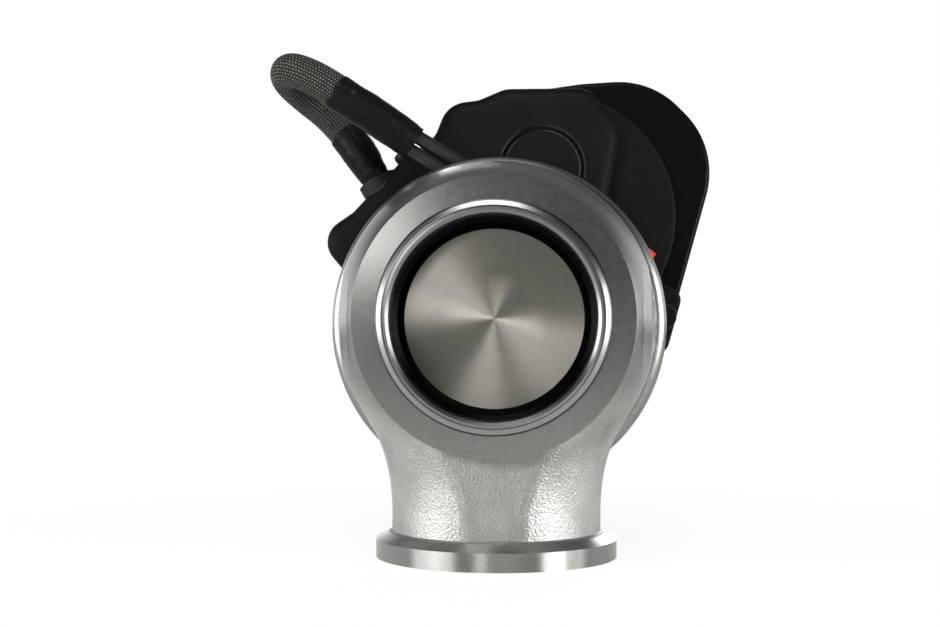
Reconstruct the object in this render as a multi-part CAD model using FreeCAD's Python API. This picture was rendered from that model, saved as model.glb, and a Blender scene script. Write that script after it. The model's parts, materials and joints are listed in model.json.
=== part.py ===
"""Electrically driven turbo wastegate, as the separate pieces it is put together from.

Millimetres. The valve lifts off its seat along +Y, away from the inlet. The outlet points
along -Z. The origin is the centre of the inlet flange's front face.
"""
import FreeCAD, Part
import math
import os

V = FreeCAD.Vector
ALONG_Y = V(0, 1, 0)

# Gas path
seat_r = 34.0               # outside radius of the pressed-in seat ring
seat_wall = 4.0             # its thickness at the inlet
gas_r = seat_r - seat_wall
throat_step = 1.3           # how far the throat stands into the bore
throat_r = gas_r - throat_step
groove_wall = 2.4           # metal between the seat ring and the clamp groove
groove_r = seat_r + groove_wall
groove_w = 3.6              # flat width of the clamp groove
rim_lip = 4.6               # height of the clamped rim above the groove
rim_r = groove_r + rim_lip
rim_t = 5.6                 # thickness of a clamped rim before its taper
taper_run = 1.7             # length of the 20 degree wedge face behind the inlet rim
seat_lip = 1.5              # how far the seat ring stands out of the flange
seat_bevel = 1.7            # bevel of that lip
seat_y = 14.7               # valve face, seen through the inlet
seat_land = 1.8             # length of the valve's cone in front of the throat line
seat_len = 18.6             # depth of the seat ring behind the flange face

# Cast body
body_r = 53.4               # bell radius at its rear face
belly_draft = 2.4
belly_r = body_r - belly_draft
shoulder_draft = 4.5
shoulder_r = belly_r - shoulder_draft
shoulder_y = 22.0
body_len = 76.5
cast_wall = 5.0
flat_depth = 3.4            # ground flats left by the casting gates
flat_x = belly_r - flat_depth
flat_y0 = 25.0
flat_y1 = 50.0
outlet_y = 43.0             # outlet centre line, behind the inlet face
outlet_drop = 73.7          # outlet face, below the valve's centre line
neck_r = 32.8
outlet_lip = 5.0            # height of the outlet rim above the neck
outlet_rim_r = neck_r + outlet_lip
outlet_taper = 2.6          # length of the wedge face above the outlet rim
neck_wall = 3.8
neck_straight = 15.7        # outlet neck below its flare
neck_low = neck_straight - outlet_drop
flare_len = 40.0            # height over which the neck widens into the bell
flare_inside = 5.0          # how far inside the bell the flare ends
neck_blend = 8.0            # rounding beside the flattened front of the neck
neck_top = 20.0             # height where the neck is lost in the bell

# Valve
valve_overlap = 2.3         # how far the valve head reaches past the throat
valve_rim_r = throat_r + valve_overlap
valve_rim_t = 2.4
valve_back = 9.0            # length of the head's back slope
stem_r = 4.0
lift = 14.0                 # full travel of the valve
seat_gap = 0.12             # what is left between cone and seat when shut
running = 0.05              # radial clearance of a shaft in its bush
part_gap = 0.3              # room between pieces that pass each other

# Bonnet and its fixings
gasket_t = 0.5
bonnet_lip = 4.1            # how far the bonnet stands out past the body
bonnet_r = body_r + bonnet_lip
bonnet_t = 8.0
bonnet_round = 3.2
bonnet_boss_r = 14.0
bonnet_boss_len = 15.0
bonnet_screws = 6
screw_edge = 3.5            # from the body's edge to its screws
bonnet_screw_circle = body_r - screw_edge
guide_r = 7.0
guide_len = 17.0
seal_t = 3.0
post_len = 8.0              # gap between bonnet and drive housing
post_r = 5.0
post_circle = 30.0
post_angles = (130.0, 215.0, 325.0, 5.0)

# Drive train
module = 1.0
motor_teeth = 11
wheel_teeth = 43
pinion_teeth = 12
final_teeth = 56
backlash = 0.12
pressure_angle = 20.0
final_to_idler = 57.3       # direction of the idler from the valve's centre line
idler_to_motor = 96.8       # direction of the motor from the idler
final_w = 6.5
wheel_w = 4.5
pinion_gap = 0.8            # between final gear and idler wheel
cam_turn = 140.0            # turn of the cam barrel for the full lift
cam_in_r = 9.2
cam_out_r = 12.0
sleeve_r = 15.0
sleeve_flange_r = 20.0
sleeve_flange_t = 2.0
roller_r = 2.9
roller_gap = 0.1
pin_r = 2.0
head_r = 7.6                # crosshead inside the cam barrel
head_len = 12.5
wall_t = 4.0                # front wall of the housing
slot_margin = 3.0           # barrel left in front of and behind its slots
hub_r = 4.0
bearing_r = 8.0
bearing_w = 5.0
motor_r = 12.4
motor_len = 25.0
motor_shaft_r = 1.5

# Housing
flange_front = 11.0         # plateau above the housing's flange
flange_t = 6.0
skirt_drop = 3.0            # skirt of the cover, behind the flange's front
shell = 3.2
cover_len = 29.0
cover_ear_t = 7.0
boss_groove = 1.8
ear_screw_r = 2.0
ear_head_r = ear_screw_r * 1.75
ear_head_t = ear_screw_r * 1.9
edge_round = 4.8
dome_round = 6.0
rib_h = 2.0
rib_t = 2.0
seal_groove = 1.2           # depth of the groove for the seal between the halves
seal_edge = 1.5             # from the flange's edge to that groove

# Cable
cable_r = 6.0
shrink_r = 6.9
lead_r = 2.5
lead_apart = 5.3

# Stations along Y, each from the one before
shoulder = rim_t + taper_run + groove_w
bonnet_y = body_len + gasket_t
bonnet_back = bonnet_y + bonnet_t
front_y = bonnet_back + post_len
inside_y = front_y + wall_t
flange_y = front_y + flange_front
parting_y = flange_y + flange_t
barrel_y = inside_y + sleeve_flange_t * 0.75
slot_r = roller_r + roller_gap
pin_y = barrel_y + slot_margin + slot_r
stem_end = pin_y - pin_r - 0.5
slot_end = pin_y + lift + slot_r
final_y = slot_end + slot_margin * 0.5
wheel_y = final_y + final_w + pinion_gap
cover_back = parting_y + cover_len
cover_inside = cover_back - shell

# Gear centres in the X-Z plane
contact_1 = module * (final_teeth + pinion_teeth) / 2
contact_2 = module * (wheel_teeth + motor_teeth) / 2
idler_x = contact_1 * math.cos(math.radians(final_to_idler))
idler_z = contact_1 * math.sin(math.radians(final_to_idler))
motor_x = idler_x + contact_2 * math.cos(math.radians(idler_to_motor))
motor_z = idler_z + contact_2 * math.sin(math.radians(idler_to_motor))


# General shapes
def disc(r, y0, y1, x=0.0, z=0.0):
    """Solid cylinder along Y."""
    return Part.makeCylinder(r, y1 - y0, V(x, y0, z), ALONG_Y)


def ring(r_out, r_in, y0, y1, x=0.0, z=0.0):
    """Tube along Y."""
    return disc(r_out, y0, y1, x, z).cut(disc(r_in, y0 - 1, y1 + 1, x, z))


def spun(start, *steps):
    """Solid of revolution about Y from a closed profile of (y, radius) points.

    A step is a point for a straight side, a pair of points for an arc through the first, or a
    list of points for a smooth curve through them all.
    """
    def at(p):
        return V(p[1], p[0], 0)
    edges = []
    here = start
    for step in steps + (start,):
        if isinstance(step, list):
            curve = Part.BSplineCurve()
            curve.interpolate([at(here)] + [at(p) for p in step])
            edges.append(curve.toShape())
            here = step[-1]
        elif isinstance(step[0], tuple):
            edges.append(Part.Arc(at(here), at(step[0]), at(step[1])).toShape())
            here = step[1]
        elif step != here:
            edges.append(Part.LineSegment(at(here), at(step)).toShape())
            here = step
    return Part.Face(Part.Wire(edges)).revolve(V(0, 0, 0), ALONG_Y, 360)


def rounded_outline(corners, y):
    """Closed wire at depth y through corners (x, z, radius), each corner rounded."""
    points = [V(x, y, z) for x, z, _ in corners]
    count = len(points)
    starts, middles, ends = [], [], []
    for i, (_, _, radius) in enumerate(corners):
        back = (points[i - 1] - points[i]).normalize()
        ahead = (points[(i + 1) % count] - points[i]).normalize()
        half = back.getAngle(ahead) / 2
        reach = radius / math.tan(half)
        inward = (back + ahead).normalize()
        starts.append(points[i] + back * reach)
        ends.append(points[i] + ahead * reach)
        middles.append(points[i] + inward * (radius / math.sin(half) - radius))
    edges = []
    for i in range(count):
        edges.append(Part.LineSegment(ends[i - 1], starts[i]).toShape())
        edges.append(Part.Arc(starts[i], middles[i], ends[i]).toShape())
    return Part.Wire(edges)


def slab(wire, depth):
    """Flat outline pushed along Y."""
    return Part.Face(wire).extrude(V(0, depth, 0))


def inset(wire, amount):
    """The same outline, moved inwards all round."""
    return wire.makeOffset2D(-amount)


def edges_at(shape, y):
    """Edges that lie wholly in the plane at y."""
    return [e for e in shape.Edges
            if abs(e.BoundBox.YMin - y) < 0.01 and abs(e.BoundBox.YMax - y) < 0.01]


def on_circle(radius, angle):
    """Point (x, z) at an angle in degrees from +X towards +Z."""
    a = math.radians(angle)
    return radius * math.cos(a), radius * math.sin(a)


def around(count, radius, start=0.0):
    """Evenly spaced points on a circle."""
    return [on_circle(radius, start + 360.0 * i / count) for i in range(count)]


def screw(r, head_r, head_t, tip, seat, x, z, facing=1):
    """Cap screw along Y: its head sits at seat, on the side that facing points to."""
    shank = disc(r, min(tip, seat), max(tip, seat), x, z)
    head = disc(head_r, min(seat, seat + facing * head_t), max(seat, seat + facing * head_t), x, z)
    socket_d = head_t * 0.6
    end = seat + facing * head_t
    hexagon = Part.makePolygon(
        [V(x + r * math.cos(k * math.pi / 3), end, z + r * math.sin(k * math.pi / 3)) for k in range(7)])
    socket = Part.Face(hexagon).extrude(V(0, -facing * socket_d, 0))
    return shank.fuse(head).removeSplitter().cut(socket)


def group(solids):
    """Several separate solids in one node."""
    return Part.makeCompound(solids)


# Gas side
def flared_neck():
    """Outlet neck: upright tube that flares into the bell, flattened in front and behind."""
    widest = belly_r - flare_inside - neck_r
    flare = [V(neck_r + widest, 0, neck_top)]
    for height, widening in ((1.0, 0.97), (0.725, 0.682), (0.5625, 0.394), (0.4, 0.189), (0.2, 0.053), (0, 0)):
        flare.append(V(neck_r + widest * widening, 0, neck_low + flare_len * height))
    curve = Part.BSplineCurve()
    curve.interpolate(flare)
    corners = [V(neck_r, 0, neck_low), V(neck_r, 0, -outlet_drop), V(0, 0, -outlet_drop),
               V(0, 0, neck_top), flare[0]]
    edges = [curve.toShape()] + [Part.LineSegment(a, b).toShape() for a, b in zip(corners, corners[1:])]
    neck = Part.Face(Part.Wire(edges)).revolve(V(0, 0, 0), V(0, 0, 1), 360)
    neck.translate(V(0, outlet_y, 0))
    front = shoulder + 0.5
    rear = body_len - 0.6
    room = Part.makeBox(4 * neck_r, rear - front, 6 * neck_r, V(-2 * neck_r, front, -3 * neck_r))
    neck = neck.common(room)
    return neck.makeFillet(neck_blend, [e for e in edges_at(neck, front) if e.BoundBox.ZLength > 5])


def body_skin():
    """Outside of the casting: clamped inlet flange, bell, flared neck and outlet flange."""
    bell = spun(
        (0, 0), (0, rim_r), (rim_t, rim_r), (rim_t + taper_run, groove_r), (shoulder, groove_r),
        [(shoulder + 2.6, groove_r + 5.0), (shoulder_y, shoulder_r), (outlet_y, belly_r), (body_len, body_r)],
        (body_len, 0))
    for side in (-1, 1):
        far = side * (flat_x + body_r)
        bell = bell.cut(Part.makeBox(
            body_r, flat_y1 - flat_y0, 2 * body_r, V(min(side * flat_x, far), flat_y0, -body_r)))
    rim_top = -outlet_drop + rim_t
    rim = Part.makeCylinder(outlet_rim_r, rim_t, V(0, outlet_y, -outlet_drop))
    wedge = Part.makeCone(outlet_rim_r, neck_r - 1.5, outlet_taper * 1.3, V(0, outlet_y, rim_top))
    return bell.fuse([flared_neck(), rim, wedge])


def valve_body():
    """One investment casting, machined at both flanges, at the seat and at the rear."""
    chamber = spun(
        (seat_len, 0), (seat_len, seat_r - 3), (seat_len + 3, seat_r + 3.5),
        (shoulder_y + 6, shoulder_r - cast_wall), (outlet_y, belly_r - cast_wall),
        (body_len + 1, belly_r - cast_wall), (body_len + 1, 0))
    passage_r = neck_r - neck_wall
    passage = Part.makeCylinder(passage_r, outlet_drop - seat_r - 1, V(0, outlet_y, -outlet_drop - 1))
    pocket = disc(seat_r, -1, seat_len)
    shape = body_skin().cut([chamber, passage, pocket])
    holes = [disc(ear_screw_r, body_len - 12, body_len + 1, x, z)
             for x, z in around(bonnet_screws, bonnet_screw_circle, 30)]
    return shape.cut(holes)


def seat_ring():
    """Pressed-in seat: bevelled lip in front, straight bore, throat and 45 degree seat."""
    throat_y = seat_y + seat_land
    open_r = throat_r + seat_len - throat_y
    return spun(
        (0, seat_r), (-seat_lip + seat_bevel * 0.35, seat_r), (-seat_lip, seat_r - seat_bevel),
        (-seat_lip, gas_r + 1.0), (-seat_lip + 1.0, gas_r), (throat_y - 5.5, gas_r),
        (throat_y - 4.2, throat_r), (throat_y, throat_r), (seat_len, open_r), (seat_len, seat_r))


def valve():
    """Valve head and stem turned from one bar."""
    cone_r = throat_r - seat_land - seat_gap * math.sqrt(2)
    rim_y = seat_y + valve_rim_r - cone_r
    back_y = rim_y + valve_rim_t
    stem_y = back_y + valve_back
    return spun(
        (seat_y, 0), (seat_y, cone_r), (rim_y, valve_rim_r), (back_y, valve_rim_r),
        (back_y + 2.0, valve_rim_r * 0.45), ((stem_y - 4, stem_r + 2.2), (stem_y, stem_r)),
        (stem_end - 1, stem_r), (stem_end, stem_r - 1), (stem_end, 0))


def bonnet():
    """Round plate that closes the body and carries the stem guide and the drive."""
    inner = bonnet_y - bonnet_boss_len
    shape = spun(
        (inner, guide_r), (inner, bonnet_boss_r - 1.5), (inner + 1.5, bonnet_boss_r),
        (bonnet_y - 3, bonnet_boss_r), ((bonnet_y - 0.9, bonnet_boss_r + 0.9), (bonnet_y, bonnet_boss_r + 3)),
        (bonnet_y, bonnet_r - bonnet_round),
        ((bonnet_y + bonnet_round * 0.29, bonnet_r - bonnet_round * 0.29), (bonnet_y + bonnet_round, bonnet_r)),
        (bonnet_back - 1, bonnet_r), (bonnet_back, bonnet_r - 1), (bonnet_back, guide_r))
    cuts = []
    for x, z in around(bonnet_screws, bonnet_screw_circle, 30):
        cuts.append(disc(ear_screw_r, bonnet_y - 1, bonnet_back + 1, x, z))
        cuts.append(disc(ear_screw_r * 1.9, bonnet_back - ear_screw_r * 2, bonnet_back + 1, x, z))
    for angle in post_angles:
        x, z = on_circle(post_circle, angle)
        cuts.append(disc(ear_screw_r, bonnet_back - 6, bonnet_back + 1, x, z))
    return shape.cut(cuts)


def bonnet_gasket():
    """Thin ring between body and bonnet, with its screw holes."""
    flat = ring(body_r, belly_r - cast_wall, body_len, bonnet_y)
    return flat.cut([disc(ear_screw_r, body_len - 1, bonnet_y + 1, x, z)
                     for x, z in around(bonnet_screws, bonnet_screw_circle, 30)])


def bonnet_screw_set():
    seat = bonnet_back - ear_screw_r * 2
    return group([screw(ear_screw_r, ear_head_r, ear_head_t, body_len - 11, seat, x, z)
                  for x, z in around(bonnet_screws, bonnet_screw_circle, 30)])


def stem_guide():
    start = bonnet_y - bonnet_boss_len
    return ring(guide_r, stem_r + running, start, start + guide_len)


def stem_seal(y0):
    """Packing ring around the stem with a groove for its spring."""
    mid = y0 + seal_t / 2
    return spun(
        (y0, stem_r + running), (y0, guide_r), (mid - 0.6, guide_r), (mid, guide_r - 0.8),
        (mid + 0.6, guide_r), (y0 + seal_t, guide_r), (y0 + seal_t, stem_r + running))


def posts():
    """Spacers that keep the hot bonnet away from the drive housing."""
    return group([ring(post_r, ear_screw_r, bonnet_back, front_y, *on_circle(post_circle, a))
                  for a in post_angles])


def post_screws():
    return group([screw(ear_screw_r, ear_head_r, ear_head_t, bonnet_back - 5, inside_y,
                        *on_circle(post_circle, a)) for a in post_angles])


# Toothed wheels
def gear_blank(teeth, width, y0, x, z, first_tooth):
    """Spur gear with involute teeth; first_tooth is the direction of a tooth, in degrees."""
    pitch = module * teeth / 2
    slope = math.radians(pressure_angle)
    base = pitch * math.cos(slope)
    tip = pitch + module
    root = pitch - 1.25 * module

    def involute(a):
        return math.tan(a) - a

    def half_angle(r):
        spread = involute(math.acos(base / r)) if r > base else 0.0
        return math.pi / (2 * teeth) - backlash / (2 * pitch) + involute(slope) - spread

    def at(r, a):
        return V(x + r * math.cos(a), y0, z + r * math.sin(a))

    low = max(base, root + 0.05)
    edges = []
    for i in range(teeth):
        middle = math.radians(first_tooth) + 2 * math.pi * i / teeth
        following = middle + 2 * math.pi / teeth
        rise = [at(r, middle - half_angle(r)) for r in (low, (low + tip) / 2, tip)]
        fall = [at(r, middle + half_angle(r)) for r in (tip, (low + tip) / 2, low)]
        foot = at(root, middle - half_angle(low))
        heel = at(root, middle + half_angle(low))
        next_foot = at(root, following - half_angle(low))
        edges.append(Part.LineSegment(foot, rise[0]).toShape())
        edges.append(Part.Arc(*rise).toShape())
        edges.append(Part.LineSegment(rise[2], fall[0]).toShape())
        edges.append(Part.Arc(*fall).toShape())
        edges.append(Part.LineSegment(fall[2], heel).toShape())
        edges.append(Part.LineSegment(heel, next_foot).toShape())
    return Part.Face(Part.Wire(edges)).extrude(V(0, width, 0))


def gap_facing(direction, teeth):
    """First tooth angle that turns a tooth gap towards the direction it came from."""
    return direction + 180.0 + 180.0 / teeth


def final_gear():
    """Output wheel: dished web, hub for the rear bearing, bore for the cam barrel."""
    wheel = gear_blank(final_teeth, final_w, final_y, 0, 0, final_to_idler)
    hub_end = cover_inside - part_gap
    hub = disc(hub_r, final_y, hub_end)
    rim_in = module * final_teeth / 2 - 4.0
    dish = ring(rim_in, cam_out_r + 3.0, final_y - 1, final_y + 1.6)
    holes = [disc(2.6, final_y - 1, final_y + final_w + 1, x, z) for x, z in around(6, 19.3, 30)]
    bore = disc(cam_out_r, final_y - 1, final_y + final_w - 2)
    magnet_seat = disc(hub_r - 1.5, hub_end - 2, hub_end + 1)
    return wheel.fuse(hub).cut(holes + [dish, bore, magnet_seat])


def sensor_magnet():
    hub_end = cover_inside - part_gap
    return disc(hub_r - 1.5, hub_end - 2, hub_end)


def helical_slot(start_angle):
    """Slot cutter that climbs by the lift while it turns by cam_turn about Y."""
    middle_r = (cam_in_r + cam_out_r) / 2
    lead = lift * 360.0 / cam_turn
    depth = cam_out_r - cam_in_r + 3.0
    helix = Part.makeHelix(lead, lift, middle_r)
    start = V(middle_r, 0, 0)
    run = V(0, 2 * math.pi * middle_r, lead).normalize()
    radial = V(1, 0, 0)
    across = run.cross(radial)
    corners = [start + radial * (depth / 2 * a) + across * (slot_r * b)
               for a, b in ((-1, -1), (1, -1), (1, 1), (-1, 1), (-1, -1))]
    body = Part.Wire(helix.Edges).makePipeShell([Part.makePolygon(corners)], True, True)
    ends = []
    for angle, height in ((0.0, 0.0), (cam_turn, lift)):
        out = V(math.cos(math.radians(angle)), math.sin(math.radians(angle)), 0)
        ends.append(Part.makeCylinder(slot_r - 0.01, depth, out * (middle_r - depth / 2) + V(0, 0, height), out))
    cutters = [body] + ends
    for cutter in cutters:
        cutter.rotate(V(0, 0, 0), V(1, 0, 0), -90)
        cutter.rotate(V(0, 0, 0), ALONG_Y, start_angle)
        cutter.translate(V(0, pin_y, 0))
    return cutters


def cam_barrel():
    """Tube with two helical slots; turning it drives the crosshead along the stem's axis."""
    tube = ring(cam_out_r, cam_in_r, barrel_y, final_y + final_w - 2)
    for cutter in helical_slot(0.0) + helical_slot(180.0):
        tube = tube.cut(cutter)
    return tube


def guide_sleeve():
    """Fixed sleeve with straight slots that keep the crosshead from turning."""
    tube = ring(sleeve_r, cam_out_r + running, inside_y, final_y - 0.7)
    flange = ring(sleeve_flange_r, cam_out_r + running, inside_y, inside_y + sleeve_flange_t)
    slot = Part.makeBox(2 * sleeve_r + 2, slot_end - pin_y + 20, 2 * slot_r,
                        V(-sleeve_r - 1, pin_y, -slot_r))
    round_end = Part.makeCylinder(slot_r, 2 * sleeve_r + 2, V(-sleeve_r - 1, pin_y, 0), V(1, 0, 0))
    holes = [disc(1.25, inside_y - 1, inside_y + 6, x, z) for x, z in around(3, sleeve_flange_r - 2.4, 90)]
    return tube.fuse(flange).removeSplitter().cut([slot, round_end] + holes)


def sleeve_screws():
    seat = inside_y + sleeve_flange_t
    return group([screw(1.25, 2.2, 2.0, inside_y - 2.5, seat, x, z)
                  for x, z in around(3, sleeve_flange_r - 2.4, 90)])


def crosshead():
    """Block on the end of the stem that holds the cross pin inside the cam barrel."""
    y0 = pin_y - head_len / 2
    block = spun((y0, stem_r), (y0, head_r - 1), (y0 + 1, head_r), (y0 + head_len - 1, head_r),
                 (y0 + head_len, head_r - 1), (y0 + head_len, 0), (stem_end, 0),
                 (stem_end, stem_r - 1), (stem_end - 1, stem_r))
    hole = Part.makeCylinder(pin_r, 2 * head_r + 2, V(-head_r - 1, pin_y, 0), V(1, 0, 0))
    return block.cut(hole)


def cross_pin():
    return Part.makeCylinder(pin_r, 2 * sleeve_r, V(-sleeve_r, pin_y, 0), V(1, 0, 0))


def pin_rollers():
    """A roller in the barrel's slot and one in the sleeve's slot, on each side."""
    rollers = []
    for side in (-1, 1):
        for near, far in ((cam_in_r + 0.1, cam_out_r - 0.05), (cam_out_r + 0.05, sleeve_r)):
            start = min(side * near, side * far)
            outer = Part.makeCylinder(roller_r, far - near, V(start, pin_y, 0), V(1, 0, 0))
            bore = Part.makeCylinder(pin_r, far - near + 2, V(start - 1, pin_y, 0), V(1, 0, 0))
            rollers.append(outer.cut(bore))
    return group(rollers)


def idler_wheel():
    wheel = gear_blank(wheel_teeth, wheel_w, wheel_y, idler_x, idler_z, idler_to_motor)
    holes = [disc(2.4, wheel_y - 1, wheel_y + wheel_w + 1, idler_x + x, idler_z + z)
             for x, z in around(6, 14.5)]
    return wheel.cut(holes + [disc(pin_r + 2.0, wheel_y - 1, wheel_y + wheel_w + 1, idler_x, idler_z)])


def idler_pinion():
    """Small gear of the idler, with the journal that the wheel is pressed on."""
    first = gap_facing(final_to_idler, pinion_teeth)
    teeth = gear_blank(pinion_teeth, wheel_y - final_y + 0.4, final_y - 0.4, idler_x, idler_z, first)
    journal = disc(pin_r + 2.0, wheel_y, wheel_y + wheel_w, idler_x, idler_z)
    shape = teeth.fuse(journal)
    return shape.cut(disc(pin_r + running, final_y - 2, wheel_y + wheel_w + 1, idler_x, idler_z))


def idler_pin():
    return disc(pin_r, final_y - 8.0, cover_inside + 1.5, idler_x, idler_z)


# Motor
motor_y = inside_y
motor_end = motor_y + motor_len


def motor_can():
    """Drawn steel can, open at the rear, with the front bearing's nose."""
    can = disc(motor_r, motor_y, motor_end, motor_x, motor_z)
    bore = disc(motor_r - 1.2, motor_y + 1.5, motor_end + 1, motor_x, motor_z)
    return can.cut([bore, disc(3.0, motor_y - 1, motor_y + 2, motor_x, motor_z)])


def motor_end_cap():
    """Moulded cap with the rear bearing seat and two contact slots."""
    cap = disc(motor_r, motor_end, motor_end + 2.5, motor_x, motor_z)
    spigot = disc(motor_r - 1.2, motor_end - 2.5, motor_end, motor_x, motor_z)
    bore = disc(motor_shaft_r + 0.6, motor_end - 4, motor_end + 4, motor_x, motor_z)
    seat = disc(3.5, motor_end - 3, motor_end - 0.5, motor_x, motor_z)
    slots = [Part.makeBox(4, 4, 1.0, V(motor_x - 2, motor_end - 0.5, motor_z + s * 8 - 0.5)) for s in (-1, 1)]
    return cap.fuse(spigot).removeSplitter().cut([bore, seat] + slots)


def motor_magnets():
    """Two arc magnets against the inside of the can."""
    tube = ring(motor_r - 1.2, motor_r - 3.2, motor_y + 3.5, motor_end - 4, motor_x, motor_z)
    split = Part.makeBox(2 * motor_r, 40, 6, V(motor_x - motor_r, motor_y, motor_z - 3))
    return tube.cut(split)


def motor_bearings():
    front = ring(3.0, motor_shaft_r + running, motor_y, motor_y + 3.0, motor_x, motor_z)
    rear = ring(3.5, motor_shaft_r + running, motor_end - 2.5, motor_end - 0.5, motor_x, motor_z)
    return group([front, rear])


def motor_rotor():
    """Shaft with the slotted armature and its commutator."""
    shaft = disc(motor_shaft_r, motor_y + 0.3, wheel_y + wheel_w + 0.5, motor_x, motor_z)
    core = disc(motor_r - 3.6, motor_y + 5, motor_end - 8.5, motor_x, motor_z)
    slots = [disc(1.5, motor_y + 4, motor_end - 8, motor_x + x, motor_z + z)
             for x, z in around(5, motor_r - 4.4)]
    commutator = disc(3.2, motor_end - 7.5, motor_end - 3.5, motor_x, motor_z)
    return core.cut(slots).fuse([shaft, commutator])


def motor_pinion():
    first = gap_facing(idler_to_motor, motor_teeth)
    teeth = gear_blank(motor_teeth, wheel_w + 0.6, wheel_y - 0.3, motor_x, motor_z, first)
    return teeth.cut(disc(motor_shaft_r, wheel_y - 2, wheel_y + wheel_w + 2, motor_x, motor_z))


# Drive housing. Corners are (x, z, radius), seen from the inlet side.
ear_left = (-53.3, 29.8)
ear_top = (-12.5, 71.5)
ear_right = (58.5, 3.0)
ear_low_left = (-36.0, -20.0)
ear_low_right = (38.0, -22.0)
plateau_ears = (ear_left, ear_top, ear_low_left)
flange_ears = (ear_right, ear_low_right)
ear_post = 10.0             # length of a screw boss on the flange
ears = plateau_ears + flange_ears
LEFT_SIDE = [(-23.2, 67.5, 6.0), (-34.7, 59.3, 12.0), (-52.6, 40.2, 4.0), (-65.8, 31.2, 8.4),
             (-55.5, 18.9, 5.0), (-54.0, -4.0, 10.0), (-34.0, -38.0, 16.0), (30.0, -40.0, 16.0)]
TOP_SIDE = [(2.0, 84.4, 10.0), (-7.5, 80.4, 6.0), (-18.6, 79.0, 10.0)]
LUG = [(60.5, -8.0, 5.5), (66.0, 11.5, 5.0)]
FRONT_ARC = [(57.6, 16.0, 3.0), (76.6, 59.2, 46.0), (27.5, 86.3, 4.0)]
RIDGE = [(36.5, -14.0, 8.0), (38.0, 3.0, 4.0), (22.5, 19.0, 4.0), (30.0, 35.0, 6.0), (38.5, 43.0, 6.0),
         (43.2, 69.0, 14.0), (32.0, 84.5, 8.0)]
SKIRT = [(60.5, -8.0, 5.5), (64.0, 8.0, 5.0), (79.8, 64.6, 31.0), (54.9, 89.6, 30.0), (30.0, 88.2, 20.0)]
DOME = [(-3.0, 74.0, 8.0), (-38.0, 44.0, 14.0), (-37.0, -6.0, 10.0), (-25.0, -37.0, 14.0),
        (22.0, -37.0, 14.0), (33.0, -14.0, 8.0), (52.0, 6.0, 12.0), (77.6, 63.0, 29.0),
        (54.5, 87.4, 28.0), (24.0, 85.6, 14.0)]
board_low = (34.0, 28.0)
board_size = (22.0, 34.0)
board_t = 1.6
board_y = parting_y + 2.5


def flange_outline(y):
    return rounded_outline(LEFT_SIDE + LUG + FRONT_ARC + TOP_SIDE, y)


def plateau_outline(y):
    return rounded_outline(LEFT_SIDE + RIDGE + TOP_SIDE, y)


def cover_outline(y):
    return rounded_outline(LEFT_SIDE + SKIRT + TOP_SIDE, y)


def dome_outline(y):
    return rounded_outline(DOME, y)


def front_housing():
    """Die-cast front half: plateau with the motor boss, flange, ears, sockets for the moving parts."""
    plateau = slab(plateau_outline(front_y), flange_front + flange_t)
    plateau = plateau.makeFillet(edge_round, edges_at(plateau, front_y))
    flange = slab(flange_outline(flange_y), flange_t)
    flange = flange.makeFillet(1.2, edges_at(flange, flange_y))
    shape = plateau.fuse(flange)
    hollow = slab(inset(plateau_outline(inside_y), shell), parting_y - inside_y + 1)
    groove = ring(motor_r + 1.0 + boss_groove, motor_r + 1.0, front_y - 1, front_y + 1.6, motor_x, motor_z)
    shape = shape.cut([hollow, groove])
    socket = disc(motor_r + 2.6, inside_y, parting_y, motor_x, motor_z)
    pillar = disc(pin_r + 2.6, inside_y, final_y - 1.0, idler_x, idler_z)
    nose = disc(stem_r + 6.0, front_y - 1.6, front_y + 1)
    ear_posts = [disc(ear_screw_r + 2.6, inside_y, parting_y, x, z) for x, z in plateau_ears]
    ear_posts += [disc(ear_screw_r + 2.6, parting_y - ear_post, parting_y, x, z) for x, z in flange_ears]
    board_posts = [disc(1.8, parting_y - 0.5, board_y, board_low[0] + x, board_low[1] + z)
                   for x in (3.0, board_size[0] - 3.0) for z in (3.0, board_size[1] - 3.0)]
    shape = shape.fuse([socket, pillar, nose] + ear_posts + board_posts)
    sleeve_room = disc(sleeve_flange_r, inside_y, parting_y + 1)
    head_rooms = [disc(ear_head_r + part_gap, inside_y, inside_y + ear_head_t + 1, *on_circle(post_circle, a))
                  for a in post_angles]
    motor_room = disc(motor_r, inside_y, parting_y + 1, motor_x, motor_z)
    stem_hole = disc(stem_r + 3.0, front_y - 3, inside_y + 1)
    pin_hole = disc(pin_r, final_y - 8.0, final_y, idler_x, idler_z)
    tapped = [disc(ear_screw_r, parting_y - 9, parting_y + 1, x, z) for x, z in ears]
    post_holes = [disc(ear_screw_r, front_y - 1, inside_y + 1, *on_circle(post_circle, a))
                  for a in post_angles]
    sleeve_holes = [disc(1.25, inside_y - 2.5, inside_y + 1, x, z)
                    for x, z in around(3, sleeve_flange_r - 2.4, 90)]
    cable_hole = Part.makeCylinder(cable_r - 1.5, 16.0, cable_exit - cable_way * 14.0, cable_way)
    gland_hole = Part.makeCylinder(gland_r, 10.0, cable_exit - cable_way * gland_depth, cable_way)
    return shape.cut([sleeve_room, motor_room, stem_hole, pin_hole, cable_hole, gland_hole, cover_gasket()]
                     + tapped + post_holes + sleeve_holes + head_rooms)


def rod_seal():
    """Lipped rubber seal where the stem enters the housing."""
    start = front_y - 1.6
    return spun(
        (start, stem_r + 0.8), (start, stem_r + 3.0), (inside_y, stem_r + 3.0), (inside_y, stem_r + running),
        (inside_y - 1.5, stem_r + running), (inside_y - 2.6, stem_r + 1.2), (start + 1.6, stem_r + 1.2))


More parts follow.
